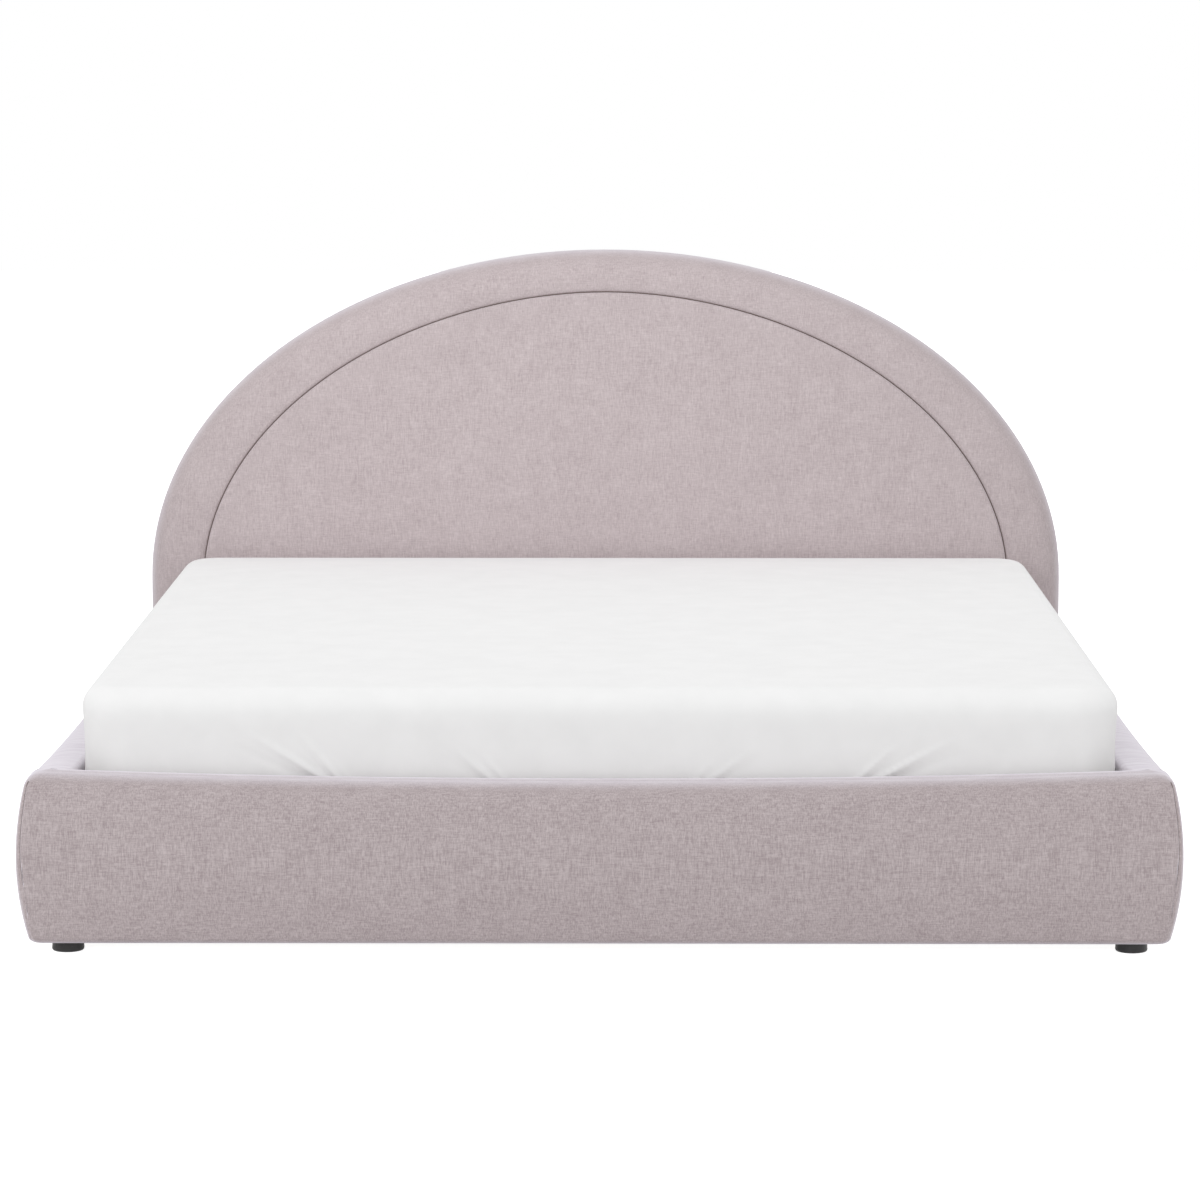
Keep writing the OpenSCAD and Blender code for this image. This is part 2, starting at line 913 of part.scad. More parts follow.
// Layers of the mechanism on the right side, from the rail board inwards
layer_gap = 1;
plate_x0 = inner_x - plate_t;
short_x0 = plate_x0 - layer_gap / 2 - arm_t;
long_x0 = short_x0 - layer_gap - arm_t;
bracket_x0 = long_x0 - layer_gap / 2 - arm_t;
tube_x1 = bracket_x0;
tube_x0 = tube_x1 - tube_w;
strut_x = long_x0 - layer_gap - 0.5 - strut_r;
hole_r = pin_r + pin_play;
head_play = 0.3;
pin_head_r = pin_r + 3;
pin_head_h = 2.5;
sunk_r = pin_head_r + head_play;
sunk_d = pin_head_h + 0.2;

module disc(p, r) {
    translate(p)
        circle(r = r, $fn = fine);
}

// A flat bar with round ends between two pivots
module bar(p, q, w) {
    hull() {
        disc(p, w / 2);
        disc(q, w / 2);
    }
}

// Base plate: its margin round a pivot and a screw, the screws' places from the pivots, its reach
plate_margin = 18;
plate_ear = 12;
ear_up = 44;
ear_out = 72;
ear_down = 62;
ear_back = 66;
ear_side = 4;
ear_low = 6;
plate_reach = 120;
plate_rise = 12;
high_ear = long_base + [-ear_side, ear_up];
far_ear = long_base + [ear_out, ear_side];
low_ear = short_base + [-ear_low, -ear_down];
back_ear = short_base + [-ear_back, -ear_low];
plate_screws = [high_ear, far_ear, low_ear, back_ear];

module base_plate() {
    difference() {
        side_plate(plate_x0, plate_t)
            hull() {
                disc(long_base, plate_margin);
                disc(short_base, plate_margin);
                disc(high_ear, plate_ear);
                disc(back_ear, plate_ear);
                disc(strut_base + [plate_reach, plate_rise], plate_margin);
                disc(strut_base + [0, ear_side], plate_margin);
            }
        for (p = [long_base, short_base, strut_base])
            side_pin(plate_x0 - 1, inner_x + 1, p, pin_r);
        plate_screw_holes();
    }
}

module right_base_plate() {
    color(c_steel)
        base_plate();
}

module left_base_plate() {
    color(c_steel)
        on_left()
            base_plate();
}

stud_end = strut_x - eye_w / 2 - head_play - pin_head_h;
shoulder_r = pin_r + 2.5;

// Pins fixed in the base plate: the long arm's, the short arm's and the strut's base stud
module long_base_pin() {
    head = long_x0 - head_play;
    union() {
        side_pin(head - pin_head_h, inner_x, long_base, pin_r);
        side_pin(head - pin_head_h, head, long_base, pin_head_r);
        side_pin(long_x0 + arm_t + head_play, plate_x0, long_base, shoulder_r);
    }
}

module short_base_pin() {
    head = short_x0 + 0.1;
    union() {
        side_pin(head, inner_x, short_base, pin_r);
        side_pin(head, head + pin_head_h - 0.1, short_base, pin_head_r);
    }
}

module strut_base_stud() {
    union() {
        side_pin(stud_end, inner_x, strut_base, pin_r);
        side_pin(stud_end, stud_end + pin_head_h, strut_base, pin_head_r);
        side_pin(strut_x + eye_w / 2 + head_play, plate_x0, strut_base, pin_r + 1);
    }
}

module base_pin_set() {
    long_base_pin();
    short_base_pin();
    strut_base_stud();
}

module right_base_pins() {
    color(c_zinc)
        base_pin_set();
}

module left_base_pins() {
    color(c_zinc)
        on_left()
            base_pin_set();
}

// Long arm
module long_arm() {
    difference() {
        side_plate(long_x0, arm_t)
            bar(long_base, long_top, arm_w);
        side_pin(long_x0 - 1, long_x0 + arm_t + 1, long_base, hole_r);
        side_pin(long_x0 - 1, long_x0 + arm_t + 1, long_top, hole_r);
        side_pin(long_x0 + arm_t - sunk_d, long_x0 + arm_t + 1, long_top, sunk_r);
    }
}

module right_long_arm() {
    color(c_steel)
        long_arm();
}

module left_long_arm() {
    color(c_steel)
        on_left()
            long_arm();
}

// Short arm, a bell crank that also carries the strut's upper stud
module short_arm() {
    union() {
        difference() {
            side_plate(short_x0, arm_t) {
                bar(short_base, short_top, arm_w);
                bar(short_base, strut_top, arm_w);
            }
            side_pin(short_x0 - 1, short_x0 + arm_t + 1, short_base, hole_r);
            side_pin(short_x0 - 1, short_x0 + sunk_d, short_base, sunk_r);
            side_pin(short_x0 - 1, short_x0 + arm_t + 1, short_top, pin_r + loose_play);
        }
        side_pin(stud_end, short_x0 + 1, strut_top, pin_r);
        side_pin(stud_end, stud_end + pin_head_h, strut_top, pin_head_r);
        side_pin(strut_x + eye_w / 2 + head_play, short_x0 + 1, strut_top, pin_r + 1);
    }
}

module right_short_arm() {
    color(c_steel)
        short_arm();
}

module left_short_arm() {
    color(c_steel)
        on_left()
            short_arm();
}

// Upper bracket on the platform's side tube
bracket_bolt_ys = [long_top[0] - 30, short_top[0] + 34];
bracket_bolt_z = tube_z + tube_h / 2;

module upper_bracket() {
    difference() {
        side_plate(bracket_x0, arm_t)
            hull() {
                disc(long_top, arm_w / 2 + 2);
                disc(short_top, tube_h / 2 - 2);
                disc([bracket_bolt_ys[0], bracket_bolt_z], tube_h / 2 - 2);
                disc([bracket_bolt_ys[1], bracket_bolt_z], tube_h / 2 - 2);
            }
        for (p = [long_top, short_top])
            side_pin(bracket_x0 - 1, bracket_x0 + arm_t + 1, p, pin_r);
        for (y = bracket_bolt_ys)
            side_pin(bracket_x0 - 1, bracket_x0 + arm_t + 1, [y, bracket_bolt_z], bolt_r);
    }
}

module right_upper_bracket() {
    color(c_steel)
        upper_bracket();
}

module left_upper_bracket() {
    color(c_steel)
        on_left()
            upper_bracket();
}

module upper_pins() {
    side_pin(bracket_x0, long_x0 + arm_t - 0.1, long_top, pin_r);
    side_pin(long_x0 + arm_t - pin_head_h, long_x0 + arm_t - 0.1, long_top, pin_head_r);
    side_pin(bracket_x0, short_x0 + arm_t + head_play, short_top, pin_r);
    side_pin(
        short_x0 + arm_t + head_play,
        short_x0 + arm_t + head_play + pin_head_h,
        short_top,
        pin_head_r
    );
}

module right_upper_pins() {
    color(c_zinc)
        upper_pins();
}

module left_upper_pins() {
    color(c_zinc)
        on_left()
            upper_pins();
}

bracket_head_h = 3;

module bracket_bolts() {
    color(c_zinc)
        both_sides()
            for (y = bracket_bolt_ys)
                union() {
                    side_pin(tube_x1 - tube_wall, bracket_x0 + arm_t, [y, bracket_bolt_z], bolt_r);
                    translate([bracket_x0 + arm_t, y, bracket_bolt_z])
                        rotate([0, 90, 0])
                            cylinder(h = bracket_head_h, r = bolt_head_r, $fn = 6);
                }
}

// Gas strut, drawn along +Y from its base stud and then turned about it
strut_run = strut_top - strut_base;
strut_angle = atan2(strut_run[1], strut_run[0]);
strut_wall = 1.5;
gland_t = 8;
eye_neck = 16;

// Turns a strut piece about a stud
module along_strut(p) {
    translate([strut_x, p[0], p[1]])
        rotate([strut_angle, 0, 0])
            children();
}

// A bar along the strut's own +Y
module run_bar(y0, y1, r) {
    translate([0, y1, 0])
        rotate([90, 0, 0])
            cylinder(h = y1 - y0, r = r, $fn = fine);
}

module eye() {
    difference() {
        translate([-eye_w / 2, 0, 0])
            rotate([0, 90, 0])
                cylinder(h = eye_w, r = eye_r, $fn = fine);
        translate([-eye_w / 2 - 1, 0, 0])
            rotate([0, 90, 0])
                cylinder(h = eye_w + 2, r = hole_r, $fn = fine);
    }
}

module strut_cylinder() {
    along_strut(strut_base) {
        difference() {
            union() {
                eye();
                run_bar(eye_r - 1, eye_neck + 1, 5);
                run_bar(eye_neck, strut_len, strut_r);
            }
            run_bar(eye_neck + 6, strut_len - gland_t, strut_r - strut_wall);
            run_bar(strut_len - gland_t - 1, strut_len + 1, rod_r + head_play);
        }
    }
}

module right_strut_cylinder() {
    color(c_steel)
        strut_cylinder();
}

module left_strut_cylinder() {
    color(c_steel)
        on_left()
            strut_cylinder();
}

piston_t = 10;

module strut_rod() {
    along_strut(strut_top) {
        union() {
            eye();
            run_bar(-eye_neck, -eye_r + 1, 5);
            run_bar(-rod_len, -eye_neck + 1, rod_r);
            run_bar(-rod_len, -rod_len + piston_t, strut_r - strut_wall - head_play);
        }
    }
}

module right_strut_rod() {
    color(c_rod)
        strut_rod();
}

module left_strut_rod() {
    color(c_rod)
        on_left()
            strut_rod();
}

// Platform tubes
tube_y0 = mattress_y0 + tube_end_inset;
tube_y1 = mattress_y1 - tube_end_inset;

module side_tube() {
    difference() {
        box([tube_x0, tube_y0, tube_z], [tube_x1, tube_y1, tube_top]);
        box(
            [tube_x0, tube_y0 - 1, tube_z] + [tube_wall, 0, tube_wall],
            [tube_x1, tube_y1 + 1, tube_top] - [tube_wall, 0, tube_wall]
        );
        for (y = bracket_bolt_ys)
            side_pin(tube_x1 - tube_wall - 1, tube_x1 + 1, [y, bracket_bolt_z], bolt_r);
    }
}

module platform_right_tube() {
    color(c_steel)
        side_tube();
}

module platform_left_tube() {
    color(c_steel)
        on_left()
            side_tube();
}

// A hollow tube along X
module across_tube(x0, x1, y) {
    difference() {
        box([x0, y, tube_z], [x1, y + tube_w, tube_top]);
        box(
            [x0 - 1, y + tube_wall, tube_z + tube_wall],
            [x1 + 1, y + tube_w - tube_wall, tube_top - tube_wall]
        );
    }
}

module platform_foot_tube() {
    color(c_steel)
        across_tube(-tube_x0, tube_x0, tube_y0);
}

module platform_head_tube() {
    color(c_steel)
        across_tube(-tube_x0, tube_x0, tube_y1 - tube_w);
}

module platform_center_tube() {
    color(c_steel)
        difference() {
            box([-tube_w / 2, tube_y0 + tube_w, tube_z], [tube_w / 2, tube_y1 - tube_w, tube_top]);
            box(
                [-tube_w / 2 + tube_wall, tube_y0, tube_z + tube_wall],
                [tube_w / 2 - tube_wall, tube_y1, tube_top - tube_wall]
            );
        }
}

cross_ys = [for (i = [1:cross_count])
    tube_y0 + (tube_y1 - tube_y0 - tube_w) * i / (cross_count + 1)];

module platform_cross_tubes() {
    color(c_steel)
        both_sides()
            for (y = cross_ys)
                across_tube(tube_w / 2, tube_x0, y);
}

// Slats in two columns, held at both ends
slat_y0 = tube_y0 + tube_w + 14;
slat_y1 = tube_y1 - tube_w - 14;
slat_pitch = (slat_y1 - slat_y0 - slat_w) / (slat_count - 1);
slat_ys = [for (i = [0:slat_count - 1]) slat_y0 + slat_pitch * i];
slat_x0 = holder_t;
slat_x1 = tube_x1 - holder_t;
slat_z = tube_top + holder_t;
slat_play = 0.2;
slat_steps = 12;

function slat_rise(s) = slat_arch * sin(180 * s);

// Side view of one arched slat, as [x, z], flat where the holders grip it
slat_line = [for (i = [0:slat_steps]) let (s = i / slat_steps)
    [slat_x0 + holder_grip + (slat_x1 - slat_x0 - 2 * holder_grip) * s, slat_z + slat_rise(s)]];
slat_under = concat([[slat_x0, slat_z]], slat_line, [[slat_x1, slat_z]]);
slat_outline = concat(
    slat_under,
    [for (i = [len(slat_under) - 1:-1:0]) slat_under[i] + [0, slat_t]]
);

module slats() {
    for (y = slat_ys)
        translate([0, y + slat_w, 0])
            rotate([90, 0, 0])
                linear_extrude(height = slat_w)
                    polygon(slat_outline);
}

module right_slats() {
    color(c_slat)
        slats();
}

module left_slats() {
    color(c_slat)
        on_left()
            slats();
}

// A holder is a cap over a slat's end, open towards the slat's middle
module holder(x0, x1, y) {
    difference() {
        box([x0, y - holder_t, tube_top], [x1, y + slat_w + holder_t, tube_top + 2 * holder_t + slat_t]);
        children();
    }
}

module slat_slot(y) {
    box(
        [slat_x0 - slat_play, y - slat_play, slat_z],
        [slat_x1 + slat_play, y + slat_w + slat_play, slat_z + slat_t + slat_play]
    );
}

module slat_holders() {
    color(c_plastic)
        both_sides()
            for (y = slat_ys) {
                holder(slat_x1 - holder_grip, tube_x1, y)
                    slat_slot(y);
                holder(0.5, slat_x0 + holder_grip, y)
                    slat_slot(y);
            }
}

// Foot end fittings on the platform
retainer_y1 = mattress_y0 - sheet_t - 1;
retainer_y0 = retainer_y1 - retainer_t;
retainer_seat = 34;

module mattress_retainers() {
    color(c_steel)
        for (x = [-retainer_x, retainer_x])
            union() {
                box(
                    [x - retainer_w / 2, retainer_y0, tube_z - retainer_t],
                    [x + retainer_w / 2, retainer_y1, mattress_z + retainer_h]
                );
                box(
                    [x - retainer_w / 2, retainer_y0, tube_z - retainer_t],
                    [x + retainer_w / 2, tube_y0 + retainer_seat, tube_z]
                );
            }
}

strap_y0 = mattress_y0 - 6;
strap_fold = 1;
strap_lap = 24;

// A loop of webbing that hangs from the underside of the foot tube
module pull_strap() {
    color(c_webbing)
        side_plate(-strap_w / 2, strap_w)
            polygon([
                [tube_y0 + strap_lap, tube_z - strap_t],
                [tube_y0 + strap_lap, tube_z],
                [strap_y0, tube_z],
                [strap_y0, tube_z - strap_drop],
                [strap_y0 + 2 * strap_t + strap_fold, tube_z - strap_drop],
                [strap_y0 + 2 * strap_t + strap_fold, tube_z - 2 * strap_t],
                [tube_y0 + strap_lap, tube_z - 2 * strap_t],
                [tube_y0 + strap_lap, tube_z - strap_t - 0.2],
                [strap_y0 + strap_t + strap_fold, tube_z - strap_t - 0.2],
                [strap_y0 + strap_t + strap_fold, tube_z - strap_drop + strap_t],
                [strap_y0 + strap_t, tube_z - strap_drop + strap_t],
                [strap_y0 + strap_t, tube_z - strap_t],
            ]);
}

// Mattress and fitted sheet
mattress_low_r = 20;
side_shares = [0.66, 0.33, 0, -0.33, -0.66];

// Plan outline of the mattress drawn in by a distance, at a height
function mattress_ring(inset, z) =
    let (
        hx = mattress_w / 2 - inset,
        hy = mattress_l / 2 - inset,
        r = max(6, mattress_corner - inset),
        rx = hx - r - mattress_bow,
        ry = hy - r - mattress_bow,
        quarter = [for (a = [0:22.5:90]) [r * cos(a), r * sin(a)]],
        bowed = [for (s = side_shares) [s, r + mattress_bow * (1 - s * s)]],
        plan = concat(
            [for (q = quarter) [rx + q[0], ry + q[1]]],
            [for (s = bowed) [rx * s[0], ry + s[1]]],
            [for (q = quarter) [-rx - q[1], ry + q[0]]],
            [for (s = bowed) [-rx - s[1], ry * s[0]]],
            [for (q = quarter) [-rx - q[0], -ry - q[1]]],
            [for (s = bowed) [-rx * s[0], -ry - s[1]]],
            [for (q = quarter) [rx + q[1], -ry - q[0]]],
            [for (s = bowed) [rx + s[1], -ry * s[0]]]
        )
    )
    [for (p = plan) [p[0], mattress_y + p[1], z]];

// The mattress as [inset, height above its underside], from the underside to the crown
edge_top = mattress_h - mattress_crown;
side_z0 = mattress_low_r;
side_z1 = edge_top - mattress_edge;
function waist(z) = mattress_waist * sin(180 * (z - side_z0) / (side_z1 - side_z0));
mattress_form = concat(
    [for (a = [0:30:90]) [mattress_low_r * (1 - sin(a)), mattress_low_r * (1 - cos(a))]],
    [for (i = [1:3]) let (z = side_z0 + (side_z1 - side_z0) * i / 4) [waist(z), z]],
    [for (a = [0:22.5:90]) [mattress_edge * (1 - cos(a)), side_z1 + mattress_edge * sin(a)]],
    [
        [mattress_edge + 90, edge_top + mattress_crown * 0.5],
        [mattress_edge + 260, edge_top + mattress_crown * 0.85],
        [mattress_edge + 520, mattress_h],
    ]
);

module mattress() {
    color(c_ticking)
        loft([for (p = mattress_form) mattress_ring(p[0], mattress_z + p[1])]);
}

// The sheet follows the mattress from its hem upwards, at a distance off it
sheet_gap = 0.2;
sheet_form = concat(
    [[mattress_low_r * (1 - sin(60)), sheet_hem]],
    [for (p = mattress_form) if (p[1] > sheet_hem + 1) p]
);
function off_sheet(p, d) =
    let (lift = min(1, max(0, (p[1] - side_z1) / mattress_edge)))
    [p[0] - d, p[1] + d * lift];

module fitted_sheet() {
    color(c_sheet)
        lofted_shell(
            [for (p = sheet_form) let (q = off_sheet(p, sheet_gap + sheet_t))
                mattress_ring(q[0], mattress_z + q[1])],
            [for (p = sheet_form) let (q = off_sheet(p, sheet_gap))
                mattress_ring(q[0], mattress_z + q[1])]
        );
}

headboard_panel();
headboard_uprights();
headboard_bottom_rail();
headboard_crossrail();
headboard_center_pad();
headboard_border_pad();
headboard_back_cover();
left_rail_board();
right_rail_board();
footboard_board();
left_rail_cover();
right_rail_cover();
footboard_cover();
foot_corner_brackets();
head_corner_brackets();
corner_bolts();
left_ledges();
right_ledges();
ledge_buffers();
left_floor_batten();
right_floor_batten();
center_beam();
cross_bearers();
left_floor_panel();
right_floor_panel();
corner_feet();
rail_feet();
beam_feet();
left_base_plate();
right_base_plate();
left_base_pins();
right_base_pins();
side_screws();
platform_left_tube();
platform_right_tube();
platform_head_tube();
platform_foot_tube();
platform_center_tube();
platform_cross_tubes();
left_slats();
right_slats();
slat_holders();
left_upper_bracket();
right_upper_bracket();
left_upper_pins();
right_upper_pins();
bracket_bolts();
mattress_retainers();
pull_strap();
mattress();
fitted_sheet();
left_long_arm();
right_long_arm();
left_short_arm();
right_short_arm();
left_strut_cylinder();
right_strut_cylinder();
left_strut_rod();
right_strut_rod();
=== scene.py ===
"""Looks of an upholstered storage bed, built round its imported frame, in metres."""

import json
import math

import bmesh
import bpy
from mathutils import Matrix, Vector

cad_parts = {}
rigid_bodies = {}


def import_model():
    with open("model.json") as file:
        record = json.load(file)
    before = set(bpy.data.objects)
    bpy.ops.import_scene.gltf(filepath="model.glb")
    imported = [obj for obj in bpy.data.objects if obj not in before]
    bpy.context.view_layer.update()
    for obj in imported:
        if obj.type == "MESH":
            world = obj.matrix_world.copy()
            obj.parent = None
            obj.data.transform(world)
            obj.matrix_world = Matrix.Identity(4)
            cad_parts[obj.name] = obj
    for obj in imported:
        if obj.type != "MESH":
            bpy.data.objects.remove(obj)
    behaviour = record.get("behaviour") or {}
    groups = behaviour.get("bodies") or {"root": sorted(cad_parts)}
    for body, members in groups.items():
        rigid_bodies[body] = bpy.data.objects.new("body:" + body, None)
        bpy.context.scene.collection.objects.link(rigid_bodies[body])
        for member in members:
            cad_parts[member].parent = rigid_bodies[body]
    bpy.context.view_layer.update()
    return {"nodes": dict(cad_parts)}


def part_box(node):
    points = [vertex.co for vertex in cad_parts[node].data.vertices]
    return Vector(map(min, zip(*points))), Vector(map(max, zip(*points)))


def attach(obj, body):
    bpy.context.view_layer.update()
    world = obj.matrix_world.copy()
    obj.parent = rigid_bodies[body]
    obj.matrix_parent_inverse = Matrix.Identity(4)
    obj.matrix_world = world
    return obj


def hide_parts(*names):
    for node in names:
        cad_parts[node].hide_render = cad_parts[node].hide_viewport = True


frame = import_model()

MM = 0.001


def node_box(name):
    """A CAD node's lowest and highest corner, in whole millimetres."""
    return [[round(c / MM) for c in corner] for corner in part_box(name)]


# Sizes of the bed in millimetres, read from the frame
(INNER_X, FOOT_IN_Y, BASE_Z), (OUTER_X, HEAD_Y, RAIL_TOP) = node_box("right_rail_cover")
BOARD_X, _, BOARD_TOP = node_box("right_rail_board")[1]
FOOT_Y = node_box("footboard_cover")[0][1]
HEAD_X, BACK_Y, HEAD_TOP = node_box("headboard_border_pad")[1]
PANEL_X = node_box("headboard_panel")[1][0]
PANEL_Y = node_box("headboard_panel")[0][1]
CROSSRAIL_TOP = node_box("headboard_crossrail")[1][2]
LINING_X = node_box("headboard_back_cover")[1][0]
LINING_LOW = node_box("headboard_back_cover")[0][2]
(_, MATTRESS_Y0, MATTRESS_Z), (MATTRESS_X, MATTRESS_Y1, MATTRESS_TOP) = node_box("mattress")

# The padded base, as its solids have it: its top's dip, its bulge and its rounded edges
RAIL_DROP = 5
RAIL_SAG = 20
FOOT_SAG = 18
SAG_POWER = 2.2
BASE_TOP = RAIL_TOP + RAIL_DROP
BULGE_R = 570
TOP_R = 22
TOP_CROWN = 2.0
INNER_R = 10
CORNER_R = 14

# The soft lip at the base's lower edge
UNDER_R = 11
UNDER_Z = 22
UNDER_TUCK = 14

# The arched headboard: where its arch springs, its border and the seam inside it
ARCH_Z = 400
BORDER_W = 116
BORDER_TOP_W = 87
SEAM_FULLNESS = 1.92
HEAD_T = BACK_Y - HEAD_Y
PAD_T = PANEL_Y - HEAD_Y

# The mattress: its corners from above, its upper and lower edges, its waist and its crown
MATTRESS_CORNER = 80
MATTRESS_EDGE = 36
MATTRESS_LOW_R = 20
MATTRESS_WAIST = 4
MATTRESS_CROWN = 5

# Upholstery colours, read from the photograph
CHENILLE_LIGHT = "#CABFC0"
CHENILLE_DARK = "#A39698"
# Painted sheen: pale colours mixed into the cloth where it is seen along its surface; the first is also
# the shader's own sheen tint
PILE_SHEEN_PALE = "#FBF7FE"
PAINTED_SHEEN_DARK = "#EEE8F1"
# The seam thread's dark colours are painted shade, for the shade deep in the seam's groove
SEAM_SHADE_LIGHT = "#7A6C68"
SEAM_SHADE_DARK = "#5E5350"

WHITE = (1, 1, 1, 1)
SIDES = ((-1, "left"), (1, "right"))


def hex_colour(text):
    """A linear colour from an sRGB hex value."""
    channels = [int(text[i : i + 2], 16) / 255 for i in (1, 3, 5)]
    linear = [c / 12.92 if c <= 0.04045 else ((c + 0.055) / 1.055) ** 2.4 for c in channels]
    return (*linear, 1.0)


def add_node(tree, kind, inputs=None, **settings):
    """Adds a shader node with its settings; an input takes a value, an output or a node's first."""
    made = tree.nodes.new(kind)
    for key, value in settings.items():
        setattr(made, key, value)
    for key, value in (inputs or {}).items():
        if isinstance(value, bpy.types.Node):
            value = value.outputs[0]
        if isinstance(value, bpy.types.NodeSocket):
            tree.links.new(value, made.inputs[key])
        else:
            made.inputs[key].default_value = value
    return made


def empty_tree(owner):
    """The node tree of a material or a world, emptied."""
    owner.use_nodes = True
    owner.node_tree.nodes.clear()
    return owner.node_tree


def add_object(name, data):
    """Adds an object to the scene."""
    made = bpy.data.objects.new(name, data)
    bpy.context.scene.collection.objects.link(made)
    return made


def new_material(name, finish, colour, bump=None, roughness=None):
    """A surface with its finish, and with patterns for its colour, bump and roughness."""
    made = bpy.data.materials.new(name)
    tree = empty_tree(made)
    place = add_node(tree, "ShaderNodeTexCoord").outputs["Object"]
    inputs = dict(finish)
    for socket, pattern in (("Base Color", colour), ("Roughness", roughness), ("Normal", bump)):
        if pattern:
            inputs[socket] = pattern(tree, place)
    shader = add_node(tree, "ShaderNodeBsdfPrincipled", inputs)
    add_node(tree, "ShaderNodeOutputMaterial", {"Surface": shader})
    return made


def drawn_out(along, share):
    """The stretch of a grain that is drawn out along one axis: the share is its scale there."""
    return tuple(share if axis == along else 1.0 for axis in "XYZ")


def grain(tree, place, size_mm, detail=2.0, rough=0.55, stretch=(1, 1, 1)):
    """A pattern of soft grains, so many millimetres wide."""
    scale = tuple(1000 / size_mm * s for s in stretch)
    scaled = add_node(tree, "ShaderNodeMapping", {"Vector": place, "Scale": scale})
    inputs = {"Vector": scaled, "Scale": 1.0, "Detail": detail, "Roughness": rough}
    return add_node(tree, "ShaderNodeTexNoise", inputs)


def mottled(dark, light, size_mm, half=0.5, **grain_settings):
    """A colour that follows a grain: dark to light over the grain's middle, so far to each side."""

    def made(tree, place):
        pattern = grain(tree, place, size_mm, **grain_settings)
        inputs = {"Value": pattern, "From Min": 0.5 - half, "From Max": 0.5 + half}
        factor = add_node(tree, "ShaderNodeMapRange", inputs)
        inputs = {0: factor, 6: hex_colour(dark), 7: hex_colour(light)}
        return add_node(tree, "ShaderNodeMix", inputs, data_type="RGBA").outputs[2]

    return made


def grained(size_mm, depth_mm, strength=0.5, **grain_settings):
    """A relief that follows a grain."""

    def made(tree, place):
        height = grain(tree, place, size_mm, **grain_settings)
        inputs = {"Height": height, "Distance": depth_mm * MM, "Strength": strength}
        return add_node(tree, "ShaderNodeBump", inputs)

    return made


def rubbed(low, high, size_mm):
    """Roughness that changes softly over the surface, from low to high."""

    def made(tree, place):
        pattern = grain(tree, place, size_mm, 3.0)
        ends = {"From Min": 0.3, "From Max": 0.7, "To Min": low, "To Max": high}
        return add_node(tree, "ShaderNodeMapRange", {"Value": pattern, **ends})

    return made


# Woven chenille: soft slubby yarns about a millimetre and a half apart, in warp and weft.
# They are drawn a little coarser than that, so that they show.
YARN_MM = 1.8
SLUB_MM = 17.0
YARN_SHARES = (("X", 0.36), ("Y", 0.14), ("Z", 0.5))
YARN_DEPTH = 0.9
YARN_SPREAD = 0.07
# Soft clouds in the cloth's colour, and the soft rows along which the painted sheen's pale colour
# varies
CLOUD_MM = 45
CLOUD_SHARE = 0.15
SHEEN_ROW_MM = 9
SHEEN_ROW_STRETCH = (0.12, 1, 0.12)


def chenille_yarns(tree, place):
    """Streaks of yarn that run along X, Y and Z, so that any face shows warp and weft."""
    total = 0.0
    for along, share in YARN_SHARES:
        streak = grain(tree, place, YARN_MM, 2.0, 0.8, drawn_out(along, YARN_MM / SLUB_MM))
        inputs = {0: streak, 1: share, 2: total}
        total = add_node(tree, "ShaderNodeMath", inputs, operation="MULTIPLY_ADD")
    return total


def painted_sheen_share(tree, sheen_paleness):
    """How much painted sheen, a pale colour, is mixed in: none seen from the front, most seen along the
    cloth.
    """
    facing = add_node(tree, "ShaderNodeLayerWeight", {"Blend": 0.5}).outputs["Facing"]
    inputs = {"Value": facing, "From Min": 0.2, "From Max": 0.92, "To Max": sheen_paleness}
    return add_node(tree, "ShaderNodeMapRange", inputs, interpolation_type="SMOOTHSTEP")


def chenille_colour(contrast, sheen_paleness):
    """The cloth's colour: its yarns stand out by the contrast, and the paleness sets how strong the
    painted sheen is where the cloth is seen along its surface.
    """
    half = YARN_SPREAD / contrast
    yarn_ends = {"From Min": 0.5 - half, "From Max": 0.5 + half, "To Max": 1 - CLOUD_SHARE}
    cloud_ends = {"From Min": 0.3, "From Max": 0.7, "To Max": CLOUD_SHARE}
    painted_sheen_colour = mottled(
        PAINTED_SHEEN_DARK, PILE_SHEEN_PALE, SHEEN_ROW_MM, 0.15, rough=0.6, stretch=SHEEN_ROW_STRETCH
    )

    def made(tree, place):
        inputs = {"Value": chenille_yarns(tree, place), **yarn_ends}
        yarns = add_node(tree, "ShaderNodeMapRange", inputs)
        inputs = {"Value": grain(tree, place, CLOUD_MM, 3.0, 0.6), **cloud_ends}
        cloud = add_node(tree, "ShaderNodeMapRange", inputs)
        mixed = add_node(tree, "ShaderNodeMath", {0: yarns, 1: cloud}, operation="ADD")
        inputs = {0: mixed, 6: hex_colour(CHENILLE_DARK), 7: hex_colour(CHENILLE_LIGHT)}
        cloth = add_node(tree, "ShaderNodeMix", inputs, data_type="RGBA").outputs[2]
        inputs = {0: painted_sheen_share(tree, sheen_paleness), 6: cloth, 7: painted_sheen_colour(tree, place)}
        return add_node(tree, "ShaderNodeMix", inputs, data_type="RGBA").outputs[2]

    return made


def chenille_bump(strength):
    """The relief of the cloth's yarns."""

    def made(tree, place):
        height = chenille_yarns(tree, place)
        inputs = {"Height": height, "Distance": YARN_DEPTH * MM, "Strength": strength}
        return add_node(tree, "ShaderNodeBump", inputs)

    return made


# The sheet's real threads are far finer: this is as coarse as they have to be to show
THREAD_MM = 1.6


def linen_bump(tree, place):
    """Fine threads that cross."""
    warp = grain(tree, place, THREAD_MM, 1.0, 0.5, (1, 0.2, 0.2))
    weft = grain(tree, place, THREAD_MM, 1.0, 0.5, (0.2, 1, 1))
    weave = add_node(tree, "ShaderNodeMath", {0: warp, 1: weft}, operation="ADD")
    inputs = {"Height": weave, "Distance": 0.12 * MM, "Strength": 0.35}
    return add_node(tree, "ShaderNodeBump", inputs)


# The ribs that run along the webbing
RIB_MM = 2.5


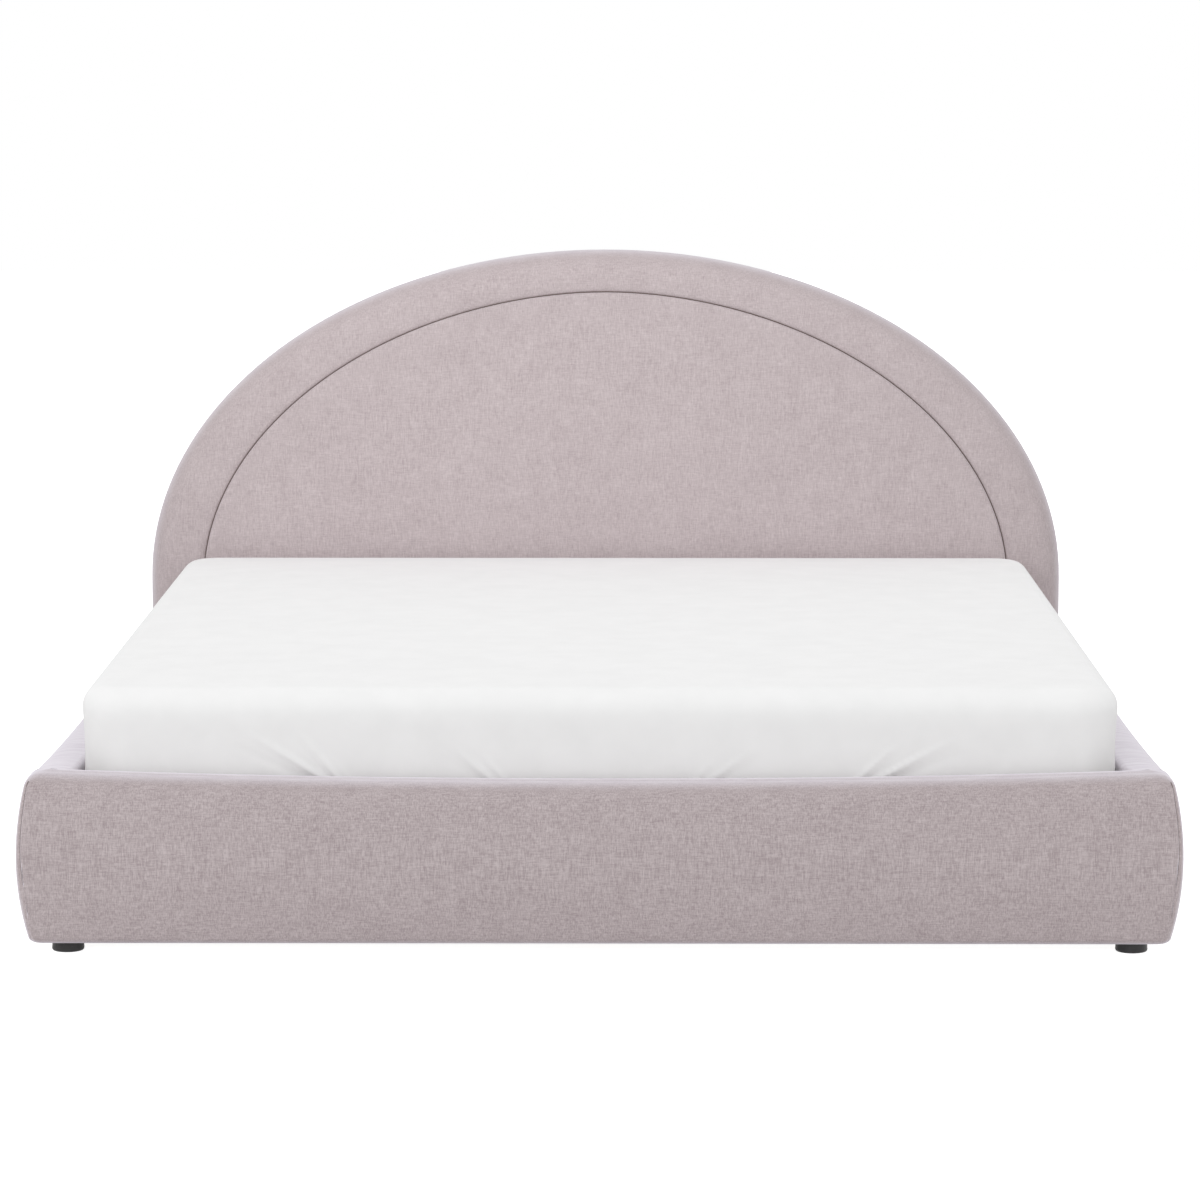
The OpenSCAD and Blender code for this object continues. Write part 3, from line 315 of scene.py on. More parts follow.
def webbing_bump(tree, place):
    """The relief of the webbing's ribs."""
    inputs = {"Vector": place, "Scale": 1000 / RIB_MM / math.tau, "Distortion": 0.0}
    ribs = add_node(tree, "ShaderNodeTexWave", inputs, wave_type="BANDS", bands_direction="X")
    inputs = {"Height": ribs.outputs[1], "Distance": 0.4 * MM, "Strength": 0.8}
    return add_node(tree, "ShaderNodeBump", inputs)


# Wood's fibres are drawn broader than real ones, so that they show
FIBRE_MM = 1.2
FIBRE_SHARE = 0.25


def wood_colour(dark, light, along, line_mm):
    """Wood whose grain runs along one axis, with dark lines about so far apart."""
    line_ends = {"From Min": 0.3, "From Max": 0.7, "To Max": 1 - FIBRE_SHARE}
    stretch = drawn_out(along, 0.045)

    def made(tree, place):
        inputs = {"Value": grain(tree, place, line_mm, 3.0, 0.6, stretch), **line_ends}
        lines = add_node(tree, "ShaderNodeMapRange", inputs)
        fibres = grain(tree, place, FIBRE_MM, 1.0, 0.5, stretch)
        inputs = {0: fibres, 1: FIBRE_SHARE, 2: lines}
        mixed = add_node(tree, "ShaderNodeMath", inputs, operation="MULTIPLY_ADD")
        inputs = {0: mixed, 6: hex_colour(dark), 7: hex_colour(light)}
        return add_node(tree, "ShaderNodeMix", inputs, data_type="RGBA").outputs[2]

    return made


def wood_bump(along):
    """The open fibres of planed wood."""
    return grained(FIBRE_MM, 0.15, 0.4, detail=1.5, rough=0.5, stretch=drawn_out(along, 0.04))


# Chenille has a soft pile: matt from the front, with a little sheen of its own where it is seen along
# the surface; most of its paleness there is painted sheen in its colour
CHENILLE_FINISH = {
    "Roughness": 0.92,
    "IOR": 1.45,
    "Specular IOR Level": 0.2,
    "Sheen Weight": 0.12,
    "Sheen Roughness": 0.35,
    "Sheen Tint": hex_colour(PILE_SHEEN_PALE),
}
chenille = new_material(
    "woven_chenille", CHENILLE_FINISH, chenille_colour(0.76, 0.94), chenille_bump(0.26)
)
# The headboard's chenille is pulled flatter, so its yarns stand out less; less painted sheen is mixed
# into its colour
flat_chenille = new_material(
    "woven_chenille_pulled_flat", CHENILLE_FINISH, chenille_colour(0.46, 0.5), chenille_bump(0.2)
)
# Spun polyester thread lies deep in its seam; its dark colour is painted shade, for the shade deep in
# the seam's groove
seam_thread = new_material(
    "polyester_seam_thread",
    {"Roughness": 0.9, "IOR": 1.5},
    mottled(SEAM_SHADE_DARK, SEAM_SHADE_LIGHT, 2.0),
    grained(1.0, 0.2),
)
# Brushed cotton is matt, white and even, and its weave hardly shows
linen = new_material(
    "brushed_cotton_sheet",
    {
        "Roughness": 0.85,
        "IOR": 1.45,
        "Specular IOR Level": 0.25,
        "Sheen Weight": 0.08,
        "Sheen Roughness": 0.5,
    },
    mottled("#EEEEEE", "#F1F1F1", 60, 0.2),
    linen_bump,
)
# Knitted ticking is a soft warm white, with fine stitches that run upwards
TICKING_STITCH = {"detail": 1.0, "rough": 0.5, "stretch": (1, 1, 0.25)}
ticking = new_material(
    "knitted_mattress_ticking",
    {"Roughness": 0.9, "IOR": 1.45, "Sheen Weight": 0.1},
    mottled("#D6D3CC", "#E9E7E2", 2.2, 0.15, **TICKING_STITCH),
    grained(2.2, 0.4, **TICKING_STITCH),
)
# Spunbond lining is a thin black cloth with a felted, slightly dusty look
lining = new_material(
    "spunbond_lining_cloth",
    {"Roughness": 0.95, "IOR": 1.45},
    mottled("#262526", "#3D3B3C", 1.8, detail=1.0),
    grained(1.8, 0.3, detail=1.0),
)
# Polypropylene webbing is black, with a dull shine on its ribs
webbing = new_material(
    "polypropylene_webbing",
    {"Roughness": 0.6, "IOR": 1.49},
    mottled("#1A1A1C", "#313134", 1.5, detail=1.0, rough=0.5, stretch=(1, 0.3, 0.3)),
    webbing_bump,
)
# Powder coat is a satin black with a fine orange peel
black_steel = new_material(
    "powder_coated_steel",
    {"IOR": 1.5},
    mottled("#1C1D1F", "#26272A", 3.0),
    grained(1.6, 0.12),
    rubbed(0.38, 0.52, 60),
)
# Zinc plate is a bright, cool grey metal, a little cloudy
zinc = new_material(
    "zinc_plated_steel",
    {"Metallic": 1.0},
    mottled("#A7ABB0", "#C9CDD1", 4.0),
    grained(0.8, 0.03, 0.4),
    rubbed(0.28, 0.42, 9),
)
# A ground and chromed rod is close to a mirror
polished_rod = new_material(
    "ground_chromed_rod",
    {"Metallic": 1.0},
    mottled("#D3D6DA", "#E2E5E8", 5.0),
    None,
    rubbed(0.06, 0.12, 12),
)
# Moulded polypropylene is a black with a low, soft gloss
black_plastic = new_material(
    "moulded_polypropylene",
    {"IOR": 1.49},
    mottled("#131314", "#1C1C1D", 2.5),
    grained(0.9, 0.06),
    rubbed(0.42, 0.55, 20),
)
# Moulded rubber is a deep, matt black
rubber = new_material(
    "moulded_rubber",
    {"Roughness": 0.85, "IOR": 1.5},
    mottled("#101010", "#191919", 2.0),
    grained(1.2, 0.1),
)
# Melamine facing is a smooth, pale, warm grey, barely mottled
laminate = new_material(
    "melamine_faced_board",
    {"IOR": 1.5},
    mottled("#D9D5CC", "#E4E1DA", 14.0),
    grained(1.5, 0.05, 0.3),
    rubbed(0.45, 0.6, 80),
)
# Planed pine is a warm yellow, with wide growth lines along each board
pine = {
    axis: new_material(
        f"planed_pine_along_{axis.lower()}",
        {"IOR": 1.5},
        wood_colour("#B08A58", "#D9BC8C", axis, 22.0),
        wood_bump(axis),
        rubbed(0.55, 0.72, 50),
    )
    for axis in "XYZ"
}
# Laminated birch is paler and smoother than pine, with narrow lines
birch = new_material(
    "laminated_birch",
    {"IOR": 1.5},
    wood_colour("#CFAE7C", "#E6CDA2", "X", 9.0),
    wood_bump("X"),
    rubbed(0.35, 0.5, 60),
)
# Poplar plywood is plain and dull, with broad lines
plywood = new_material(
    "poplar_plywood",
    {"IOR": 1.5},
    wood_colour("#BE9C6C", "#DCC398", "X", 30.0),
    wood_bump("X"),
    rubbed(0.55, 0.7, 60),
)

# The rigid nodes of each finish: those that stand alone, and those with a left and a right one
DRESSED = (
    (plywood, ["headboard_panel"], []),
    (pine["X"], ["headboard_bottom_rail", "headboard_crossrail"], []),
    (pine["X"], ["footboard_board", "cross_bearers"], []),
    (pine["Y"], ["center_beam"], ["rail_board", "floor_batten"]),
    (pine["Z"], ["headboard_uprights"], []),
    (laminate, [], ["floor_panel"]),
    (birch, [], ["slats"]),
    (rubber, ["ledge_buffers"], []),
    (black_plastic, ["corner_feet", "rail_feet", "beam_feet", "slat_holders"], []),
    (zinc, ["corner_bolts", "side_screws", "bracket_bolts"], ["base_pins", "upper_pins"]),
    (polished_rod, [], ["strut_rod"]),
    (black_steel, [], ["long_arm", "short_arm", "strut_cylinder", "upper_bracket", "base_plate"]),
    (black_steel, ["foot_corner_brackets", "head_corner_brackets", "mattress_retainers"], ["ledges"]),
    (black_steel, ["platform_head_tube", "platform_foot_tube", "platform_center_tube"], []),
    (black_steel, ["platform_left_tube", "platform_right_tube", "platform_cross_tubes"], []),
)


def dress_frame():
    """Gives each rigid node of the frame its finish."""
    for finish, alone, paired in DRESSED:
        for name in alone + [f"{hand}_{node}" for _, hand in SIDES for node in paired]:
            mesh = frame["nodes"][name].data
            mesh.materials.clear()
            mesh.materials.append(finish)


def clamp(value):
    """A value held between 0 and 1."""
    return min(1, max(0, value))


def arc(start, stop, steps):
    """Angles in radians from start to stop degrees, both included."""
    return [math.radians(start + (stop - start) * i / steps) for i in range(steps + 1)]


def loop_edges(bm, ring, closed=True):
    """The edges along a chain of vertices, made where they are missing."""
    count = len(ring)
    pairs = [(ring[i], ring[(i + 1) % count]) for i in range(count if closed else count - 1)]
    return [bm.edges.get(pair) or bm.edges.new(pair) for pair in pairs]


def stretch_ring(bm, ring, points):
    """Extrudes a ring of vertices once and puts the new ones at the points."""
    made = bmesh.ops.extrude_edge_only(bm, edges=loop_edges(bm, ring))["geom"]
    fresh = {v for v in made if isinstance(v, bmesh.types.BMVert)}
    new = []
    for v in ring:
        new.append(next(e.other_vert(v) for e in v.link_edges if e.other_vert(v) in fresh))
    for v, point in zip(new, points):
        v.co = point
    return new


def raise_rings(rings):
    """A mesh drawn through rings of as many points each, in millimetres, and its rings."""
    bm = bmesh.new()
    scaled = [[Vector(p) * MM for p in ring] for ring in rings]
    stack = [[bm.verts.new(p) for p in scaled[0]]]
    for points in scaled[1:]:
        stack.append(stretch_ring(bm, stack[-1], points))
    return bm, stack


def close_flat(bm, ring):
    """Closes a ring with one face."""
    return bmesh.ops.contextual_create(bm, geom=loop_edges(bm, ring))["faces"]


def close_to_middle(bm, ring):
    """Closes a ring with a fan to its middle."""
    bmesh.ops.poke(bm, faces=close_flat(bm, ring))


def place_mesh(mesh, name, finish, body):
    """Puts a mesh with its finish into the scene, where it rides on a body."""
    mesh.materials.clear()
    mesh.materials.append(finish)
    made = add_object(name, mesh)
    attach(made, body)
    return made


# Vertices that are closer than this, in millimetres, become one
WELD = 0.01


def finish_mesh(bm, name, finish, body):
    """Makes a bmesh a smooth piece with its finish, that rides on a body."""
    bmesh.ops.remove_doubles(bm, verts=bm.verts, dist=WELD * MM)
    bmesh.ops.recalc_face_normals(bm, faces=bm.faces)
    for face in bm.faces:
        face.smooth = True
    mesh = bpy.data.meshes.new(name)
    bm.to_mesh(mesh)
    bm.free()
    return place_mesh(mesh, name, finish, body)


def make_tube(name, path, radius, finish, body, rounding=2):
    """A thin round line along points in millimetres."""
    curve = bpy.data.curves.new(name, "CURVE")
    curve.dimensions = "3D"
    curve.bevel_depth = radius * MM
    curve.bevel_resolution = rounding
    curve.use_fill_caps = True
    spline = curve.splines.new("POLY")
    spline.points.add(len(path) - 1)
    for point, place in zip(spline.points, path):
        point.co = (*[c * MM for c in place], 1.0)
    line = add_object(name + "_line", curve)
    bpy.context.view_layer.update()
    shown = line.evaluated_get(bpy.context.evaluated_depsgraph_get())
    mesh = bpy.data.meshes.new_from_object(shown)
    bpy.data.objects.remove(line)
    mesh.name = name
    for face in mesh.polygons:
        face.use_smooth = True
    return place_mesh(mesh, name, finish, body)


def thicken(piece, name, thickness, offset):
    """Gives a sheet its thickness in millimetres: all inwards for an offset of -1, halved for 0."""
    wall = piece.modifiers.new(name, "SOLIDIFY")
    wall.thickness = thickness * MM
    wall.offset = offset


def bulge(z):
    """How far a padded side lies in from its fullest height."""
    middle = BASE_Z + (BASE_TOP - BASE_Z) / 2
    return BULGE_R - math.sqrt(BULGE_R**2 - (z - middle) ** 2)


def dipped(z, share, drop, sag):
    """A height under a top edge that drops at its ends, -1 and 1, and dips further between them."""
    low = drop + sag * (1 - min(1, abs(share)) ** SAG_POWER)
    return BASE_Z + (z - BASE_Z) * (1 - low / (BASE_TOP - BASE_Z))


SIDE_STEPS = 15


def padded_section():
    """The base's outer section as (inset, height), from the underside's soft lip over the top."""
    points = [(bulge(BASE_Z) + UNDER_R + UNDER_TUCK, BASE_Z)]
    for a in arc(0, 90, 8):
        z = UNDER_Z + UNDER_R * (1 - math.cos(a))
        points.append((bulge(z) + UNDER_R * (1 - math.sin(a)), z))
    low, high = UNDER_Z + UNDER_R, BASE_TOP - TOP_R
    for i in range(1, SIDE_STEPS):
        z = low + (high - low) * i / SIDE_STEPS
        points.append((bulge(z), z))
    for a in arc(0, 80, 8):
        z = BASE_TOP - TOP_R * (1 - math.sin(a))
        points.append((bulge(z) + TOP_R * (1 - math.cos(a)), z))
    return points


SECTION = padded_section()

# Cloth stays this far off the boards that it passes
CLOTH_GAP = 0.4
# The rails reach from just behind the footboard to just before the headboard
RAIL_Y = FOOT_IN_Y + 0.5
RAIL_L = HEAD_Y - 1 - RAIL_Y
RAIL_STATIONS = 60
TOP_STEPS = 4
# How much a rail's end is tucked in, as (distance from the end, tuck)
RAIL_ENDS = ((0.0, 1.0), (1.2, 0.5), (3.6, 0.15), (7.0, 0.0))
# Only what lies past this X is tucked in, from so far above the underside and fully so much higher
TUCK_X = INNER_X + 45
TUCK_LOW = 5
TUCK_H = 40
# The padding swells over its board towards the mattress, from the footboard to the lift arms,
# and reaches its full swell sooner on the left
SWELL = 7
SWELL_REACH = {-1: 16, 1: 70}
SWELL_END_Y = -500
SWELL_FADE = 250
# The inner side down to its board, as (share of the swell, height over the board)
SWELL_LINE = ((1, 30), (0.8, 22), (0.3, 12), (0, 7), (0, 1))
# The side against the board, as (distance past the board's face, height)
BOARD_LINE = ((-1, BOARD_TOP + 1), (1, BOARD_TOP - 4), (1, BASE_Z + 60), (1, BASE_Z + 5))


def inner_swell(y, side):
    """The swell of a rail's padding at a place along it."""
    near = clamp((y - FOOT_IN_Y) / SWELL_REACH[side])
    return SWELL * near * near * clamp((SWELL_END_Y - y) / SWELL_FADE)


def rail_ring(share, side, tuck=0.0):
    """The closed section of a rail's padding at a place along it, tucked in a little at its ends."""
    y = RAIL_Y + RAIL_L * (share + 1) / 2
    swell = inner_swell(y, side)
    inner = INNER_X - swell
    points = [(BOARD_X, BASE_Z)]
    points += [(OUTER_X - inset, z) for inset, z in SECTION]
    outer = points[-1][0]
    for t in (i / TOP_STEPS for i in range(1, TOP_STEPS)):
        x = outer + (inner + INNER_R - outer) * t
        points.append((x, BASE_TOP + TOP_CROWN * math.sin(math.pi * t)))
    for a in arc(90, 0, 5):
        x = inner + INNER_R * (1 - math.cos(a))
        points.append((x, BASE_TOP - INNER_R * (1 - math.sin(a))))
    points += [(INNER_X + CLOTH_GAP - swell * part, BOARD_TOP + up) for part, up in SWELL_LINE]
    points += [(BOARD_X + past, z) for past, z in BOARD_LINE]
    ring = []
    for x, z in points:
        tuck_in = tuck * clamp((z - BASE_Z - TUCK_LOW) / TUCK_H) if x > TUCK_X else 0
        tuck_down = tuck * max(0, (z - BOARD_TOP) / (BASE_TOP - BOARD_TOP))
        ring.append((side * (x - tuck_in), y, dipped(z, share, RAIL_DROP, RAIL_SAG) - tuck_down))
    return ring


def make_rail_padding(side, hand):
    """The padded cover of a side rail, that ends against the footboard and the headboard."""
    rings = [rail_ring(-1 + 2 * d / RAIL_L, side, tuck) for d, tuck in RAIL_ENDS]
    rings += [rail_ring(-1 + 2 * i / RAIL_STATIONS, side) for i in range(1, RAIL_STATIONS)]
    rings += [rail_ring(1 - 2 * d / RAIL_L, side, tuck) for d, tuck in reversed(RAIL_ENDS)]
    bm, stack = raise_rings(rings)
    close_flat(bm, stack[0])
    close_flat(bm, stack[-1])
    piece = finish_mesh(bm, f"{hand}_rail_padding", chenille, "bed_base")
    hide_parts(f"{hand}_rail_cover")


# The footboard's front is rolled back at the top: how far, over which height, and how suddenly
FRONT_ROLL = 14
FRONT_ROLL_H = TOP_R + 14
FRONT_ROLL_POWER = 2.5
FRONT_STEPS = 100
# The roll of its inner edge where it meets the rails, and the length over which it grows from there
END_R = 1.2
END_X = INNER_X + 22
END_GROWTH = 30
# Its top is drawn in to a middle line, that stops this far short of its sides, in these shares
TOP_END = 20
TOP_SHARES = (0.15, 0.35, 0.55, 0.75, 0.9, 1.0)
TOP_RISE = 2.4
# The corner seams: their depth, half their width in degrees, the height over which they die out
# below their upper end, and the height from which they get shallower towards the floor
SEAM_DEPTH = 2.0
SEAM_HALF = 8
SEAM_END_Z = BASE_TOP - 6
SEAM_END_FADE = 30
SEAM_FULL_Z = 160
SEAM_LOW_FADE = 100
SEAM_LEAST = 0.3
# Height and angle of the seam round the corner, that leans in most below the middle
SEAM_TURNS = (
    (22, 54), (55, 62), (85, 74), (114, 80), (145, 74), (187, 66), (260, 62), (300, 52), (322, 40)
)
CORNER_THREAD_R = 0.6
# How far the thread stands out from the bottom of its seam
CORNER_THREAD_OUT = 0.15


def seam_angle(z):
    """Where the front panel's seam runs round the corner, in degrees."""
    for (z0, a0), (z1, a1) in zip(SEAM_TURNS, SEAM_TURNS[1:]):
        if z <= z1:
            t = max(0, (z - z0) / (z1 - z0))
            return -(a0 + (a1 - a0) * t * t * (3 - 2 * t))
    return -SEAM_TURNS[-1][1]


def seam_depth(z):
    """How deep a corner seam draws in: less near the floor, and nothing at the top."""
    below_end = clamp((SEAM_END_Z - z) / SEAM_END_FADE)
    above_floor = clamp(1 - (SEAM_FULL_Z - z) / SEAM_LOW_FADE)
    return SEAM_DEPTH * below_end * max(SEAM_LEAST, above_floor)


def front_line(inset, z):
    """Where the footboard's front lies."""
    roll = max(0, (z - BASE_TOP + FRONT_ROLL_H) / FRONT_ROLL_H)
    return FOOT_Y + inset + FRONT_ROLL * roll**FRONT_ROLL_POWER


def back_line(x, z):
    """Where the footboard's inner side lies: rolled at its top, and square where it meets the rails."""
    radius = END_R + (INNER_R - END_R) * clamp((END_X - abs(x)) / END_GROWTH)
    below = BASE_TOP - z
    roll = radius - math.sqrt(radius**2 - (radius - below) ** 2) if below < radius else 0
    return FOOT_IN_Y - CLOTH_GAP - roll


def foot_corner(side, run, front_y, z):
    """A front corner of the footboard's outline, with its seam drawn in."""
    seam = seam_angle(z)
    made = []
    for degrees in (0, -14, -28, seam + 11, seam + 5, seam, seam - 5, seam - 11, -81, -90):
        near = max(0, 1 - abs(degrees - seam) / SEAM_HALF)
        r = CORNER_R - seam_depth(z) * near
        a = math.radians(degrees)
        made.append((side * (run + r * math.cos(a)), front_y + CORNER_R + r * math.sin(a)))
    return made


def foot_plan(inset, z):
    """The footboard's outline at one height."""
    hx = OUTER_X - inset
    run = hx - CORNER_R
    front_y = front_line(inset, z)
    inner_y = back_line(hx, z)
    side_ys = [inner_y + (front_y + CORNER_R - inner_y) * t for t in (0, 1 / 3, 2 / 3)]
    shares = [1 - 2 * i / FRONT_STEPS for i in range(1, FRONT_STEPS)]
    plan = [(hx, y) for y in side_ys]
    plan += foot_corner(1, run, front_y, z)
    plan += [(run * s, front_y) for s in shares]
    plan += reversed(foot_corner(-1, run, front_y, z))
    plan += [(-hx, y) for y in reversed(side_ys)]
    plan += [(-run * s, back_line(run * s, z)) for s in shares]
    return [(x, y, dipped(z, x / OUTER_X, 0, FOOT_SAG)) for x, y in plan]


def make_footboard_padding():
    """The padded footboard, whose front panel is sewn to its side panels along curved seams."""
    rings = [foot_plan(inset, z) for inset, z in SECTION]
    edge = rings[-1]
    middle = (front_line(*SECTION[-1]) + FOOT_IN_Y - INNER_R) / 2
    reach = OUTER_X - SECTION[-1][0] - TOP_END
    for share in TOP_SHARES:
        rise = TOP_RISE * math.sin(math.pi / 2 * share)
        ring = []
        for x, y, z in edge:
            end = max(-reach, min(reach, x))
            ring.append((x + (end - x) * share, y + (middle - y) * share, z + rise))
        rings.append(ring)
    bm, stack = raise_rings(rings)
    close_flat(bm, stack[0])
    piece = finish_mesh(bm, "footboard_padding", chenille, "bed_base")
    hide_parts("footboard_cover")


def make_footboard_seams():
    """The stitched line where the front panel meets each side panel."""
    r = CORNER_R - SEAM_DEPTH + CORNER_THREAD_OUT
    for side, hand in SIDES:
        path = []
        for inset, z in SECTION[3:-6]:
            run = OUTER_X - inset - CORNER_R
            a = math.radians(seam_angle(z))
            y = FOOT_Y + inset + CORNER_R + r * math.sin(a)
            path.append((side * (run + r * math.cos(a)), y, z))
        name = f"footboard_{hand}_seam"
        piece = make_tube(name, path, CORNER_THREAD_R, seam_thread, "bed_base")


def filled(value):
    """A sine or cosine for an arch a little slimmer than an ellipse at its shoulders."""
    return math.copysign(abs(value) ** (2 / SEAM_FULLNESS), value)


def arch_stations(step=2.0, leg_steps=14, low=BASE_Z):
    """Places along the arch as (seam, rim), from the right foot over the top to the left foot."""
    seam_x = HEAD_X - BORDER_W
    seam_rise = HEAD_TOP - ARCH_Z - BORDER_TOP_W
    rim_rise = HEAD_TOP - ARCH_Z
    legs = [low + (ARCH_Z - low) * i / leg_steps for i in range(leg_steps)]
    places = [((seam_x, z), (HEAD_X, z)) for z in legs]
    for a in arc(0, 180, int(180 / step)):
        seam = (seam_x * filled(math.cos(a)), ARCH_Z + seam_rise * filled(math.sin(a)))
        rim = (HEAD_X * math.cos(a), ARCH_Z + rim_rise * math.sin(a))
        places.append((seam, rim))
    return places + [((-seam_x, z), (-HEAD_X, z)) for z in reversed(legs)]


def across_border(seam, rim):
    """The way from the seam out to the rim."""
    return Vector((rim[0] - seam[0], rim[1] - seam[1]))


# The rounding of the border's front rim and of its back
RIM_R = 46
BACK_R = 20
# Beside the centre panel the border leaves a gap, reaches back into the seam and rolls over
SEAM_GAP = 0.8
SEAM_REACH = 26
ROLL_W = 26
ROLL_D = 9
BORDER_CROWN = 1.2
# It wraps the plywood's edge, and its lip goes in between the plywood and the centre pad
PANEL_INSET = HEAD_X - PANEL_X - 1
LINING_INSET = HEAD_X - LINING_X
LIP_INSET = 50


def border_section(width):
    """The border's section as (distance out from the seam, depth behind the front)."""
    points = [(SEAM_GAP, SEAM_REACH), (SEAM_GAP, ROLL_D + 4)]
    for a in arc(8, 90, 7):
        points.append((SEAM_GAP + ROLL_W * (1 - math.cos(a)), ROLL_D * (1 - math.sin(a))))
    flat = width - RIM_R - ROLL_W - SEAM_GAP
    for t in (0.3, 0.6, 0.85):
        points.append((SEAM_GAP + ROLL_W + flat * t, -BORDER_CROWN * math.sin(math.pi * t)))
    for a in arc(0, 90, 10):
        points.append((width - RIM_R * (1 - math.sin(a)), RIM_R * (1 - math.cos(a))))
    points.append((width, (RIM_R + HEAD_T - BACK_R) / 2))
    for a in arc(0, 90, 6):
        out = width - BACK_R * (1 - math.cos(a))
        points.append((out, HEAD_T - BACK_R * (1 - math.sin(a))))
    behind = width - LINING_INSET - 1
    edge = width - PANEL_INSET
    points += [(behind, HEAD_T), (behind, HEAD_T - 3), (edge, HEAD_T - 5)]
    points += [(edge, PAD_T + 12), (edge, PAD_T + 0.5), (width - LIP_INSET, PAD_T + 0.5)]
    return points


def make_headboard_border():
    """The padded roll round the arch, that dips into the seam at its inner side."""
    rings = []
    for seam, rim in arch_stations():
        out = across_border(seam, rim)
        section = border_section(out.length)
        out.normalize()
        rings.append([(seam[0] + out.x * d, HEAD_Y + deep, seam[1] + out.y * d) for d, deep in section])
    bm, stack = raise_rings(rings)
    close_flat(bm, stack[0])
    close_flat(bm, stack[-1])
    piece = finish_mesh(bm, "headboard_border_roll", flat_chenille, "bed_base")
    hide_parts("headboard_border_pad")


BOTTOM_STEPS = 60


def closed_below(points, z):
    """An arch's outline, closed with a straight row of points at a height."""
    left, right = points[-1][0], points[0][0]
    row = [(left + (right - left) * i / BOTTOM_STEPS, z) for i in range(1, BOTTOM_STEPS)]
    return points + row


def drawn_in(outline, hub_z, y, inset=0.0, share=1.0):
    """A ring at one depth: an outline drawn towards a hub by an inset, or to a share of its size."""
    hub = Vector((0, hub_z))
    ring = []
    for point in outline:
        way = Vector(point) - hub
        place = hub + way * (share * max(0.0, 1 - inset / way.length))
        ring.append((place.x, y, place.y))
    return ring


# The centre panel: its lower edge, its rings' middle, its hem behind the seam as (inset, depth),
# the roll at the seam, its crown as (inset, rise), and the shares of its last rings
CENTER_LOW = CROSSRAIL_TOP + 1
CENTER_HUB_Z = (ARCH_Z + CROSSRAIL_TOP) / 2 + 60
CENTER_HEM = ((2.0, PAD_T - 0.5), (1.0, 20))
CENTER_GAP = 1.0
CENTER_ROLL = 5
CENTER_CROWN = ((10, 0.1), (20, 0.3), (40, 0.6), (70, 1.0), (110, 1.3), (160, 1.5))
CENTER_SHARES = (0.7, 0.56, 0.42, 0.28, 0.14)
LAST_RISE = 0.5


def make_headboard_center():
    """The padded centre panel, flat up to the seam, with a soft crown."""
    outline = closed_below([seam for seam, _ in arch_stations(2.0, 8, CENTER_LOW)], CENTER_LOW)
    steps = list(CENTER_HEM)
    for a in arc(0, 90, 4):
        inset = CENTER_GAP + CENTER_ROLL * (1 - math.cos(a))
        steps.append((inset, CENTER_ROLL * (1 - math.sin(a))))
    steps += [(inset, -rise) for inset, rise in CENTER_CROWN]
    rings = [drawn_in(outline, CENTER_HUB_Z, HEAD_Y + deep, inset) for inset, deep in steps]
    for share in CENTER_SHARES:
        y = HEAD_Y - CENTER_CROWN[-1][1] - LAST_RISE * (1 - share)
        rings.append(drawn_in(outline, CENTER_HUB_Z, y, share=share))
    bm, stack = raise_rings(rings)
    close_to_middle(bm, stack[-1])
    close_flat(bm, stack[0])
    piece = finish_mesh(bm, "headboard_center_panel", flat_chenille, "bed_base")
    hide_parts("headboard_center_pad")


# The thread in the seam: its lower end, its depth behind the front and its radius
THREAD_LOW = CROSSRAIL_TOP + 6
THREAD_DEPTH = 7.5
THREAD_R = 2.0


def make_headboard_thread():
    """The stitched line between the centre panel and the border."""
    seams = [seam for seam, _ in arch_stations(2.0, 8, THREAD_LOW)]
    path = [(x, HEAD_Y + THREAD_DEPTH, z) for x, z in seams]
    piece = make_tube("headboard_seam_thread", path, THREAD_R, seam_thread, "bed_base")


# Thickness of the lining and of the sheet
CLOTH_T = 0.5
LINING_HUB_Z = 470
# The lining from its turned edge to its middle, as (share of the outline, distance past the back)
LINING_LINE = (
    (1.0, -3.6), (0.998, -0.4), (0.99, -0.2), (0.96, -0.9), (0.9, -1.4),
    (0.7, -1.6), (0.45, -1.6), (0.2, -1.6),
)
# The depth of its puckers, their turn from point to point, and the share to which they reach
PUCKER = 0.5
PUCKER_TURN = 2.1
PUCKER_END = 0.85


def pucker(i, share):
    """The lining's small puckers between its staples, that die out towards its middle."""
    if share >= 0.995:
        return 0
    return PUCKER * math.sin(i * PUCKER_TURN) * max(0, (share - PUCKER_END) / (1 - PUCKER_END))


def make_back_lining():
    """Thin lining cloth stretched over the back of the headboard."""
    edge = []
    for seam, rim in arch_stations(3.0, 8, LINING_LOW):
        out = across_border(seam, rim).normalized()
        edge.append((rim[0] - out.x * LINING_INSET, rim[1] - out.y * LINING_INSET))
    outline = closed_below(edge, LINING_LOW)
    rings = []
    for share, past in LINING_LINE:
        ring = drawn_in(outline, LINING_HUB_Z, BACK_Y + past, share=share)
        rings.append([(x, y + pucker(i, share), z) for i, (x, y, z) in enumerate(ring)])
    bm, stack = raise_rings(rings)
    close_to_middle(bm, stack[-1])
    piece = finish_mesh(bm, "headboard_back_lining", lining, "bed_base")
    thicken(piece, "cloth_thickness", CLOTH_T, -1)
    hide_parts("headboard_back_cover")


# The softer shoulder of the mattress's foot side: its height and depth, how far along the bed it
# moves the top back, and over how much of the top it fades
SHOULDER_H = 62
SHOULDER_D = 16
SHOULDER_REACH = 240
SHOULDER_FADE = 300
MATTRESS_FACE_TOP = MATTRESS_TOP - MATTRESS_CROWN
LEAST_CORNER = 6
# The crown of its top, as (distance in from the edge's roll, share of the crown)
CROWN_LINE = (
    (60, 0.2), (100, 0.42), (160, 0.62), (250, 0.8), (380, 0.92), (540, 0.98), (700, 1.0), (840, 1.0)
)


